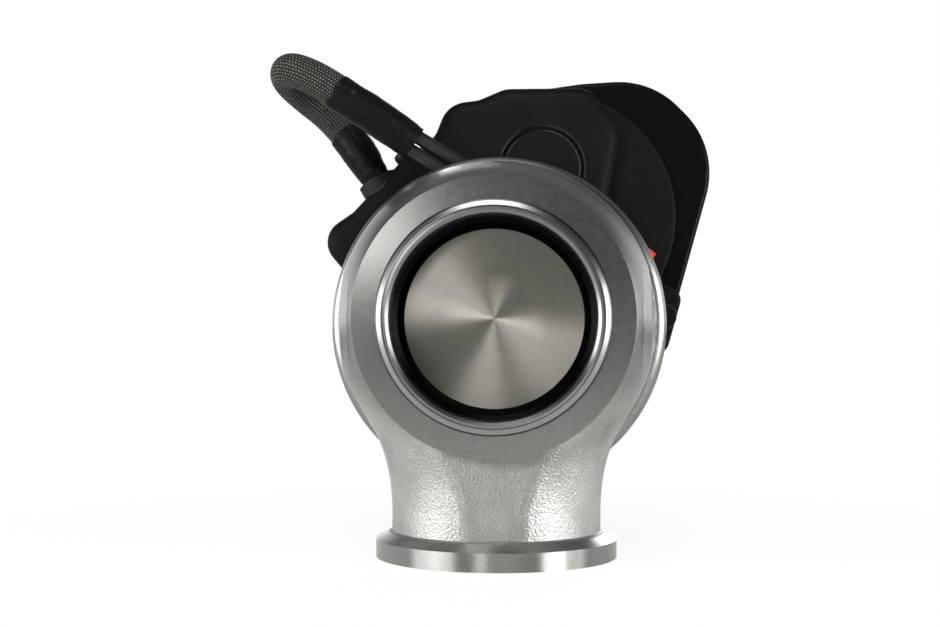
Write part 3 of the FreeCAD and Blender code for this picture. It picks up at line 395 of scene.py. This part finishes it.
def plain_metal(name, colour, roughness, grain=0.6, depth=0.01):
    """Plated, sintered or drawn metal with a fine even grain, shown coarser than it is."""
    f = Finish(name)
    spots = f.add("TexNoise", {"Vector": f.place, "Scale": per_mm(grain), "Detail": 3.0})
    base = f.add("Mix", {0: spots, 6: shade(colour, 0.85), 7: shade(colour, 1.1)}, 2, data_type="RGBA")
    rough = f.add("MapRange", [spots, 0.3, 0.7, roughness * 0.9, roughness * 1.15])
    return f.close(base, rough, spots, depth, {"Metallic": 1.0})


def coated_casting(colours):
    """Die-cast aluminium with a fine-textured black powder coat: matt, warm, slightly uneven.

    The coat eases every edge, and some edges are painted light, partly as wear and partly as a painted
    highlight where edges catch the light. Its real texture is finer than the picture can show, so it is
    drawn coarser.
    """
    f = Finish("aluminium_die_cast_powder_coated")
    pebble = f.add("TexNoise", {"Vector": f.place, "Scale": per_mm(0.45), "Detail": 2.0})
    cloud = f.add("TexNoise", {"Vector": f.place, "Scale": per_mm(14.0), "Detail": 4.0})
    drawn = f.add("VectorMath", [f.place, (1.0, 1.0, 3.0)], operation="MULTIPLY")
    scuffs = f.add("TexNoise", {"Vector": drawn, "Scale": per_mm(1.6), "Detail": 6.0})
    shift = f.add("MapRange", [cloud, 0.3, 0.7])
    base = f.add("Mix", {0: shift, 6: shade(colours.housing, 0.8), 7: shade(colours.housing, 1.15)}, 2,
                 data_type="RGBA")
    rubbed = f.add("MapRange", [scuffs, 0.62, 0.75, 0.0, 0.35])
    base = f.add("Mix", {0: rubbed, 6: base, 7: shade(colours.housing, 2.0)}, 2, data_type="RGBA")
    # Edges painted lighter: partly wear, partly a painted highlight where edges catch the light
    eased = f.add("Bevel", {"Radius": 0.5 * MM}, samples=4)
    turn = f.add("VectorMath", [eased, f.normal], "Value", operation="DOT_PRODUCT")
    sharp = f.add("MapRange", [turn, 0.97, 0.85])
    handled = f.add("TexNoise", {"Vector": f.place, "Scale": per_mm(22.0), "Detail": 2.0})
    often = f.add("MapRange", [handled, 0.42, 0.6])
    edges = f.add("Math", [sharp, often], operation="MULTIPLY")
    wear_and_highlight = f.add("Math", [edges, 0.7], operation="MULTIPLY")
    base = f.add("Mix", {0: wear_and_highlight, 6: base, 7: linear("#77776F")}, 2, data_type="RGBA")
    rough = f.add("MapRange", [pebble, 0.3, 0.7, 0.50, 0.66])
    return f.close(base, rough, pebble, 0.06, {"Specular IOR Level": 0.08}, edge=0.6)


def moulded(name, colour, roughness, grain=0.9, depth=0.012, gloss=0.12, edge=0.0, coat=None):
    """Moulded, pressed or laminated non-metal: even colour and a faint grain, shown coarser than it is."""
    f = Finish(name)
    tooled = f.add("TexNoise", {"Vector": f.place, "Scale": per_mm(grain), "Detail": 3.0})
    cloud = f.add("TexNoise", {"Vector": f.place, "Scale": per_mm(9.0), "Detail": 3.0})
    base = f.add("Mix", {0: cloud, 6: shade(colour, 0.85), 7: shade(colour, 1.15)}, 2, data_type="RGBA")
    rough = f.add("MapRange", [tooled, 0.3, 0.7, roughness * 0.92, roughness * 1.1])
    looks = {"Specular IOR Level": gloss}
    if coat:
        looks.update({"Coat Weight": coat, "Coat Roughness": 0.25})
    return f.close(base, rough, tooled, depth, looks, edge)


def shrunk_sleeve(colours):
    """Heat-shrink tube of polyolefin: satin black skin, dusty, with slack ripples where it cooled."""
    f = Finish("polyolefin_heat_shrink")
    ripple = f.add("TexNoise", {"Vector": f.place, "Scale": per_mm(2.4), "Detail": 3.0})
    dust = f.add("TexNoise", {"Vector": f.place, "Scale": per_mm(0.5), "Detail": 4.0})
    dusty = f.add("MapRange", [dust, 0.45, 0.8])
    base = f.add("Mix", {0: dusty, 6: colours.shrink, 7: shade(colours.shrink, 1.9)}, 2, data_type="RGBA")
    rough = f.add("MapRange", [dust, 0.3, 0.7, 0.32, 0.44])
    return f.close(base, rough, ripple, 0.10, {"Specular IOR Level": 0.09})


def braided_sleeve(colours, sizes):
    """Braided polyester sleeve: dark strands with lengthwise rows of small light flecks.

    The UV map gives metres along the cable and the share of the way round it. Every second row is
    shifted by half a fleck, and the number of rows is even, so that the pattern closes.
    """
    f = Finish("polyester_braided_sleeve")
    along, around, _ = f.add("SeparateXYZ", [f.uv]).node.outputs
    rows = 2 * round(math.pi * sizes.cable_radius / (FLECK_WIDTH * MM))
    row = f.add("Math", [around, rows], operation="MULTIPLY")
    whole = f.add("Math", [row], operation="FLOOR")
    second = f.add("Math", [whole, 2.0], operation="MODULO")
    shift = f.add("Math", [second, 0.5], operation="MULTIPLY")
    step = f.add("Math", [along, 1.0 / sizes.strand_pitch, shift], operation="MULTIPLY_ADD")
    humps = []
    for turns in (row, step):
        angle = f.add("Math", [turns, math.pi], operation="MULTIPLY")
        wave = f.add("Math", [angle], operation="SINE")
        humps.append(f.add("Math", [wave], operation="ABSOLUTE"))
    hump = f.add("Math", humps, operation="MULTIPLY")
    uneven = f.add("TexNoise", {"Vector": f.place, "Scale": per_mm(2.0), "Detail": 3.0})
    crown = f.add("MapRange", [hump, 0.5, 0.85])
    faded = f.add("MapRange", [uneven, 0.25, 0.6, 0.35, 1.0])
    fleck = f.add("Math", [crown, faded], operation="MULTIPLY")
    base = f.add("Mix", {0: fleck, 6: colours.braid_dark, 7: colours.braid_light}, 2, data_type="RGBA")
    return f.close(base, 0.62, hump, 0.35, {"Specular IOR Level": 0.2})


def glossy_lead(name, colour):
    """Silicone lead jacket: smooth black with a soft gloss and a little dust."""
    f = Finish(name)
    dust = f.add("TexNoise", {"Vector": f.place, "Scale": per_mm(0.8), "Detail": 4.0})
    dusty = f.add("MapRange", [dust, 0.5, 0.8])
    base = f.add("Mix", {0: dusty, 6: colour, 7: shade(colour, 1.8)}, 2, data_type="RGBA")
    return f.close(base, 0.3, dust, 0.01, {"Specular IOR Level": 0.4})


def make_finishes(colours, sizes):
    """Every finish of the part, by the slot name it belongs to."""
    return {
        # Bright orange peel with darker turned flanges
        "cast_steel": blasted_casting(colours),
        # Satin rings; painted shade inside the bore and as dark rings in the seat's grooves
        "machined_steel": turned_steel("stainless_steel_turned", colours.turned, 0.29, 0.6, bore=30.05),
        # Duller, with wide fans of light; darker towards its edge, and painted nearly black at the rim, as
        # shade
        "valve_steel": turned_steel("valve_steel_turned", colours.valve, 0.45, 0.95,
                                    outer=shade(colours.valve, 0.85), rim=26.75),
        # Cool grey plating
        "zinc_screw": plain_metal("steel_zinc_plated", linear("#A9ABAD"), 0.35),
        # Dull dark grey with a rough grain
        "graphite": moulded("graphite_pressed", linear("#2B2B2D"), 0.6, 0.5, 0.03),
        # Dull gold, lightly grained
        "bronze": plain_metal("bronze_sintered", linear("#A98A55"), 0.45, 0.4, 0.02),
        # Matt black with a fine texture, and edges painted lighter, as wear and as a painted highlight
        "housing_black": coated_casting(colours),
        # Smooth deep black with soft edges
        "cover_black": moulded("nylon_glass_filled_moulded", colours.cover, 0.34, 0.7, gloss=0.06, edge=0.5),
        # Matt black
        "rubber_black": moulded("nitrile_rubber_moulded", linear("#1B1B1B"), 0.55),
        # Satin black, rippled
        "shrink_black": shrunk_sleeve(colours),
        # Dark weave with light flecks
        "braid_grey": braided_sleeve(colours, sizes),
        # Smooth black with a soft gloss
        "lead_black": glossy_lead("silicone_lead_jacket", linear("#1A1A1B")),
        # Satin dark grey
        "connector_black": moulded("nylon_connector_moulded", linear("#202022"), 0.42),
        # Red with a plastic gloss
        "lock_red": moulded("nylon_red_moulded", colours.lock, 0.4, gloss=0.5),
        # Bright ground steel
        "gear_steel": turned_steel("steel_hobbed_and_ground", linear("#9A9B9C"), 0.32, 0.4),
        # Green under a clear lacquer
        "board_green": moulded("glass_epoxy_board", linear("#1C5236"), 0.3, 0.5, 0.01, gloss=0.5, coat=0.4),
        # Dull dark grey
        "magnet_grey": plain_metal("ferrite_sintered", linear("#4A4A4C"), 0.55, 0.5, 0.02),
    }


FINISHES = {}


# Geometry
def smooth_line(route):
    """Points of a cord's smooth line, read from the NURBS curve of its route."""
    data = bpy.data.curves.new("route", "CURVE")
    data.dimensions = "3D"
    data.resolution_u = 20
    spline = data.splines.new("NURBS")
    spline.points.add(len(route) - 1)
    for point, place in zip(spline.points, route):
        point.co = (*place, 1.0)
    spline.order_u = 3
    spline.use_endpoint_u = True
    holder = bpy.data.objects.new("route", data)
    line = bpy.data.meshes.new_from_object(holder)
    points = [v.co.copy() for v in line.vertices]
    bpy.data.meshes.remove(line)
    bpy.data.objects.remove(holder)
    bpy.data.curves.remove(data)
    return points


class Path:
    """A line with a steady frame, so that a tube along it doesn't twist."""

    def __init__(self, points):
        self.points = points
        self.marks = [0.0]
        for start, end in zip(points, points[1:]):
            self.marks.append(self.marks[-1] + (end - start).length)
        self.length = self.marks[-1]
        ways = [(points[min(i + 1, len(points) - 1)] - points[max(i - 1, 0)]).normalized()
                for i in range(len(points))]
        side = ways[0].orthogonal().normalized()
        self.frames = []
        for i, way in enumerate(ways):
            if i:
                side = ways[i - 1].rotation_difference(way) @ side
            side = (side - way * side.dot(way)).normalized()
            self.frames.append((side, way.cross(side)))

    def at(self, distance):
        """Place and the two sideways directions at a distance along the line."""
        distance = min(max(distance, 0.0), self.length)
        i = 0
        while i < len(self.marks) - 2 and self.marks[i + 1] < distance:
            i += 1
        span = self.marks[i + 1] - self.marks[i]
        share = (distance - self.marks[i]) / span if span else 0.0
        place = self.points[i].lerp(self.points[i + 1], share)
        side, up = (a.lerp(b, share).normalized() for a, b in zip(self.frames[i], self.frames[i + 1]))
        return place, side, up


def tube(name, path, stations, sides=64):
    """Closed tube along a path through stations: (distance, radius at an angle and distance).

    A distance may run back, which folds the wall inwards to a hollow mouth. The UV map holds the
    distance along the tube in metres and the share of the way round.
    """
    vertices = []
    for distance, radius_at in stations:
        place, side, up = path.at(distance)
        for k in range(sides):
            angle = 2 * math.pi * k / sides
            outward = side * math.cos(angle) + up * math.sin(angle)
            vertices.append(place + outward * radius_at(angle, distance))
    lengths = [distance for distance, _ in stations]
    faces, uvs = [], []
    for i in range(len(stations) - 1):
        for k in range(sides):
            following = (k + 1) % sides
            here, there = i * sides, (i + 1) * sides
            faces.append((here + k, here + following, there + following, there + k))
            near, far = k / sides, (k + 1) / sides
            uvs += [(lengths[i], near), (lengths[i], far), (lengths[i + 1], far), (lengths[i + 1], near)]
    for i in (0, len(stations) - 1):
        ring = [i * sides + k for k in range(sides)]
        faces.append(ring[::-1] if i == 0 else ring)
        uvs += [(lengths[i], 0.0)] * sides
    mesh = bpy.data.meshes.new(name)
    mesh.from_pydata(vertices, [], faces)
    layer = mesh.uv_layers.new(name="UVMap")
    for loop, uv in zip(layer.data, uvs):
        loop.uv = uv
    mesh.validate()
    for polygon in mesh.polygons:
        polygon.use_smooth = len(polygon.vertices) == 4
    piece = bpy.data.objects.new(name, mesh)
    bpy.context.scene.collection.objects.link(piece)
    return piece


def steps(start, end, spacing):
    """Distances from start to end, evenly spaced."""
    count = max(2, round(abs(end - start) / spacing))
    return [start + (end - start) * i / count for i in range(count + 1)]


def turned_piece(name, path, start, profile, sides):
    """Round piece on a path, from a profile of distances past the start and radii, in millimetres."""
    stations = [(start + d * MM, lambda angle, distance, r=r: r * MM) for d, r in profile]
    return tube(name, path, stations, sides)


def dress(piece, slot, body="root"):
    """Give a built piece the finish of its slot and the body it rides on."""
    piece.data.materials.append(FINISHES[slot])
    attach(piece, body)


class WASTEGATE_OT_finishes(bpy.types.Operator):
    """Materials of the part's own pieces, from the slots of its record"""
    bl_idname = "wastegate.finishes"
    bl_label = "Finishes"

    def execute(self, context):
        sizes, colours, _ = settings()
        FINISHES.update(make_finishes(colours, sizes))
        for part in frame["record"]["subparts"]:
            node = frame["nodes"][part["node"]]
            node.data.materials.clear()
            node.data.materials.append(FINISHES[part["material_slot"]])
        return {"FINISHED"}


class WASTEGATE_OT_stage(bpy.types.Operator):
    """Camera at the photograph's place, soft studio light, pale floor and white surroundings"""
    bl_idname = "wastegate.stage"
    bl_label = "Stage"

    def execute(self, context):
        _, _, look = settings()
        scene = context.scene
        scene.view_settings.view_transform = "Standard"
        self.camera(scene, look)
        for lamp in LAMPS:
            self.lamp(scene, look, *lamp)
        self.surroundings(scene)
        self.floor(scene)
        return {"FINISHED"}

    def camera(self, scene, look):
        """The photograph's camera."""
        camera = bpy.data.objects.new("camera", bpy.data.cameras.new("camera"))
        scene.collection.objects.link(camera)
        right, up = Vector(CAMERA_RIGHT), Vector(CAMERA_UP)
        turn = Matrix((right, up, right.cross(up))).transposed().to_4x4()
        camera.matrix_world = Matrix.Translation(CAMERA_PLACE) @ turn
        camera.data.lens = look.lens
        camera.data.sensor_width = 36.0
        camera.data.clip_start = 0.01
        scene.camera = camera

    def lamp(self, scene, look, name, place, target, size, light, multiple):
        """One area lamp, its power a multiple of the key or the fill light."""
        lamp = bpy.data.lights.new(name, "AREA")
        lamp.shape = "RECTANGLE"
        lamp.size, lamp.size_y = size
        lamp.energy = {"key": look.key, "fill": look.fill}[light] * multiple
        holder = bpy.data.objects.new(name, lamp)
        holder.location = place
        holder.rotation_euler = (Vector(target) - Vector(place)).to_track_quat("-Z", "Y").to_euler()
        scene.collection.objects.link(holder)

    def surroundings(self, scene):
        """White behind the part and to its sides, as the camera and the metal see it; grey in front."""
        world = scene.world or bpy.data.worlds.new("studio")
        scene.world = world
        world.use_nodes = True
        tree = world.node_tree
        tree.nodes.clear()
        rays = add(tree, "LightPath").node.outputs
        way = add(tree, "SeparateXYZ", [add(tree, "TexCoord", output="Generated")]).node.outputs
        back = add(tree, "MapRange", [way[1], -0.35, 0.35])
        level = add(tree, "MapRange", [way[2], 0.15, 0.5, 1.0, 0.12])
        behind = add(tree, "Math", [back, level], operation="MULTIPLY")
        mirrored = add(tree, "Math", [rays["Is Glossy Ray"], behind], operation="MULTIPLY")
        through = add(tree, "Math", [mirrored, rays["Is Transmission Ray"]], operation="MAXIMUM")
        seen = add(tree, "Math", [rays["Is Camera Ray"], through], operation="MAXIMUM")
        room = add(tree, "Mix", {0: behind, 6: (0.05, 0.05, 0.05, 1), 7: (0.40, 0.40, 0.40, 1)}, 2,
                   data_type="RGBA")
        screen = add(tree, "Mix", {0: rays["Is Camera Ray"], 6: (1.4, 1.4, 1.4, 1), 7: (1, 1, 1, 1)}, 2,
                     data_type="RGBA")
        colour = add(tree, "Mix", {0: seen, 6: room, 7: screen}, 2, data_type="RGBA")
        light = add(tree, "Background", {"Color": colour, "Strength": 1.0})
        add(tree, "OutputWorld", {"Surface": light})

    def floor(self, scene):
        """Pale floor under the outlet flange; it glows white to the camera and keeps the shadow."""
        material = new_material("floor_pale_paper")
        tree = material.node_tree
        rays = add(tree, "LightPath").node.outputs
        place = add(tree, "TexCoord", output="Object")
        foot = (OUTLET_FACE[0], OUTLET_FACE[1], FLOOR_Z)
        away = add(tree, "VectorMath", [place, foot], "Value", operation="DISTANCE")
        fading = add(tree, "MapRange", [away, 0.06, 0.26, 0.90, 1.0])
        white = add(tree, "Math", [rays["Is Camera Ray"], fading], operation="MULTIPLY")
        card = add(tree, "Math", [rays["Is Glossy Ray"], 0.12], operation="MULTIPLY")
        share = add(tree, "Math", [card, white], operation="MAXIMUM")
        paper = add(tree, "BsdfDiffuse", {"Color": linear("#F2F2F0")})
        glow = add(tree, "Emission", {"Color": (1, 1, 1, 1), "Strength": 1.0})
        surface = add(tree, "MixShader", [share, paper, glow])
        add(tree, "OutputMaterial", {"Surface": surface})
        reach = 6.0
        mesh = bpy.data.meshes.new("floor")
        corners = [(-reach, -reach, FLOOR_Z), (reach, -reach, FLOOR_Z), (reach, reach, FLOOR_Z),
                   (-reach, reach, FLOOR_Z)]
        mesh.from_pydata(corners, [], [(0, 1, 2, 3)])
        mesh.materials.append(material)
        piece = bpy.data.objects.new("floor", mesh)
        scene.collection.objects.link(piece)


class WASTEGATE_OT_cable(bpy.types.Operator):
    """Braided cable with its two heat-shrink sleeves, along the cable's route"""
    bl_idname = "wastegate.cable"
    bl_label = "Braided cable"

    def execute(self, context):
        sizes, _, _ = settings()
        path = Path(smooth_line(CABLE_ROUTE))
        lower_end, upper_start = self.sleeve_ends(path)
        cable = self.braid(path, lower_end, upper_start, sizes)
        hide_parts("braided_cable")
        lower = self.sleeve("lower_shrink_sleeve", path, 0.0, lower_end, sizes, hollow=False)
        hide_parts("lower_heat_shrink")
        upper = self.sleeve("upper_shrink_sleeve", path, path.length, upper_start, sizes, hollow=True)
        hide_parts("upper_heat_shrink")
        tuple(CABLE_ROUTE[0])
        [tuple(p) for p in path.points]
        return {"FINISHED"}

    def sleeve_ends(self, path):
        """Distances at which the lower sleeve stops and the upper one begins."""
        middles = [(Vector(CABLE_ROUTE[leg]) + Vector(CABLE_ROUTE[leg + 1])) * 0.5 for leg in SLEEVE_LEGS]
        return [min(zip(path.marks, path.points), key=lambda m: (m[1] - middle).length)[0]
                for middle in middles]

    def braid(self, path, lower_end, upper_start, sizes):
        """Braid along the whole path, squeezed thin under both sleeves and thinner at the open mouth."""
        squeeze_run, mouth_run = 4.0 * MM, 8.0 * MM
        squeeze, mouth_squeeze, root_squeeze = 1.9 * MM, 2.0 * MM, 1.5 * MM

        def radius(angle, distance):
            inside = max(lower_end - distance, distance - upper_start) - squeeze_run / 2
            under = min(max(inside / squeeze_run, 0.0), 1.0)
            at_mouth = max(1.0 - (path.length - distance) / mouth_run, 0.0)
            return sizes.cable_radius - squeeze * under - mouth_squeeze * at_mouth

        stations = [(0.0, lambda a, s: radius(a, s) - root_squeeze)]
        stations += [(s, radius) for s in steps(0.0, path.length, 0.7 * MM)]
        cable = tube("braided_cable_loop", path, stations)
        dress(cable, "braid_grey")
        return cable

    def sleeve(self, name, path, root_end, free_end, sizes, hollow):
        """Shrunk tube: wrinkled wall, rolled lip on the braid; the other end shut or an open mouth."""
        radius, thickness = sizes.shrink_radius, 0.7 * MM
        toward = 1.0 if free_end > root_end else -1.0
        span = abs(free_end - root_end)
        seed = 3.0 if hollow else 11.0
        shrunk, narrowing, narrowing_run, power = (0.4, 0.25, 9.0, 1.0) if hollow else (0.25, 1.3, 13.0, 1.5)
        gather, gather_run, gather_pitch = (0.0 if hollow else 0.35), 6.0, 0.9
        swell = 0.08 if hollow else 0.0

        def wall(angle, distance):
            along = abs(distance - root_end)
            out, up = math.cos(angle), math.sin(angle)
            ripples = noise.noise(Vector((out * 1.6, up * 1.6, along / (3.4 * MM) + seed)))
            creases = noise.noise(Vector((out, up, along / (1.5 * MM) + seed)))
            near_root = max(0.0, 1.0 - along / (gather_run * MM))
            gathered = gather * near_root * (0.5 + 0.5 * math.cos(along / (gather_pitch * MM)))
            narrowed = narrowing * max(0.0, 1.0 - along / (narrowing_run * MM)) ** power
            swollen = swell * math.sin(math.pi * along / span) ** 2
            relief = sizes.wrinkle * (ripples + 0.5 * creases)
            return radius + (swollen - shrunk - narrowed - gathered) * MM + relief

        def lip(angle, distance):
            return sizes.cable_radius - 0.05 * MM

        def mouth(inset):
            def at(angle, distance):
                ragged = noise.noise(Vector((math.cos(angle) * 2.2, math.sin(angle) * 2.2, seed)))
                return wall(angle, root_end) + 0.12 * MM * (1.0 + ragged) - inset
            return at

        if hollow:
            start = [(root_end + toward * 5.0 * MM, lambda a, s: radius - thickness - 1.2 * MM),
                     (root_end + toward * 0.3 * MM, mouth(thickness)),
                     (root_end, mouth(thickness)), (root_end, mouth(0.0))]
        else:
            start = [(root_end, lambda a, s: radius - 1.2 * MM), (root_end, lambda a, s: radius - 0.6 * MM)]
        first, last = root_end + toward * 0.5 * MM, free_end - toward * 0.7 * MM
        body = [(s, wall) for s in steps(first, last, 0.35 * MM)]
        rolled = [(free_end - toward * 0.15 * MM, lambda a, s: wall(a, s) - 0.30 * MM), (free_end, lip),
                  (free_end - toward * 0.8 * MM, lambda a, s: lip(a, s) - 0.4 * MM)]
        piece = tube(name, path, start + body + rolled, 72)
        if toward < 0:
            piece.data.flip_normals()
        dress(piece, "shrink_black")
        return piece


class WASTEGATE_OT_leads(bpy.types.Operator):
    """Two smooth leads from the cable's open end to the parked connector, with their seals"""
    bl_idname = "wastegate.leads"
    bl_label = "Leads"

    def execute(self, context):
        sizes, _, _ = settings()
        nodes = frame["nodes"]
        for name, node, route in (("lead_left", "lead_a", LEAD_A_ROUTE),
                                  ("lead_right", "lead_b", LEAD_B_ROUTE)):
            path = Path(smooth_line(route))
            radius = sizes.lead_radius
            stations = [(0.0, lambda a, s: radius - 0.4 * MM)]
            stations += [(s, lambda a, s: radius) for s in steps(0.3 * MM, path.length, 1.5 * MM)]
            lead = tube(name, path, stations, 40)
            dress(lead, "lead_black")
            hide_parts(node)
            with_pieces = [self.seal(name + "_seal", path)]
            if node == "lead_a":
                with_pieces += [nodes["connector_plug"], nodes["connector_lock"]]
            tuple(route[0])
            [tuple(p) for p in path.points]
        return {"FINISHED"}

    def seal(self, name, path):
        """Ribbed rubber seal that closes the connector round the lead."""
        piece = turned_piece(name, path, path.length - SEAL_BACK * MM, SEAL_PROFILE, 40)
        dress(piece, "rubber_black")
        return piece


class WASTEGATE_OT_vent(bpy.types.Operator):
    """Moulded vent cap on the housing's flank, beside the cable gland"""
    bl_idname = "wastegate.vent"
    bl_label = "Vent cap"

    def execute(self, context):
        way = Vector(VENT_WAY).normalized()
        low = VENT_PROFILE[0][0]
        foot = Vector(VENT_PLACE) + way * low * MM
        profile = [(d - low, r) for d, r in VENT_PROFILE]
        cap = turned_piece("vent_cap", Path([foot, foot + way * 0.2]), 0.0, profile, 48)
        dress(cap, "rubber_black")
        return {"FINISHED"}


OPERATORS = (WASTEGATE_OT_finishes, WASTEGATE_OT_stage, WASTEGATE_OT_cable, WASTEGATE_OT_leads,
             WASTEGATE_OT_vent)


class WASTEGATE_PT_panel(bpy.types.Panel):
    """Sidebar panel with the builder's steps and settings"""
    bl_idname = "WASTEGATE_PT_panel"
    bl_label = "Wastegate"
    bl_space_type = "VIEW_3D"
    bl_region_type = "UI"
    bl_category = "Wastegate"

    def draw(self, context):
        for group in settings():
            box = self.layout.box()
            for name in group.__annotations__:
                box.prop(group, name)
        for operator in OPERATORS:
            self.layout.operator(operator.bl_idname)


SETTINGS = {"cord_sizes": CordSizes, "finish_colours": FinishColours, "stage_look": StageLook}


def register():
    for kind in (*SETTINGS.values(), *OPERATORS, WASTEGATE_PT_panel):
        bpy.utils.register_class(kind)
    for name, kind in SETTINGS.items():
        setattr(bpy.types.Scene, name, bpy.props.PointerProperty(type=kind))


def unregister():
    for name in SETTINGS:
        delattr(bpy.types.Scene, name)
    for kind in (WASTEGATE_PT_panel, *OPERATORS[::-1], *list(SETTINGS.values())[::-1]):
        bpy.utils.unregister_class(kind)


def main():
    """Register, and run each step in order."""
    register()
    bpy.ops.wastegate.finishes()
    bpy.ops.wastegate.stage()
    bpy.ops.wastegate.cable()
    bpy.ops.wastegate.leads()
    bpy.ops.wastegate.vent()


if __name__ == "__main__":
    main()
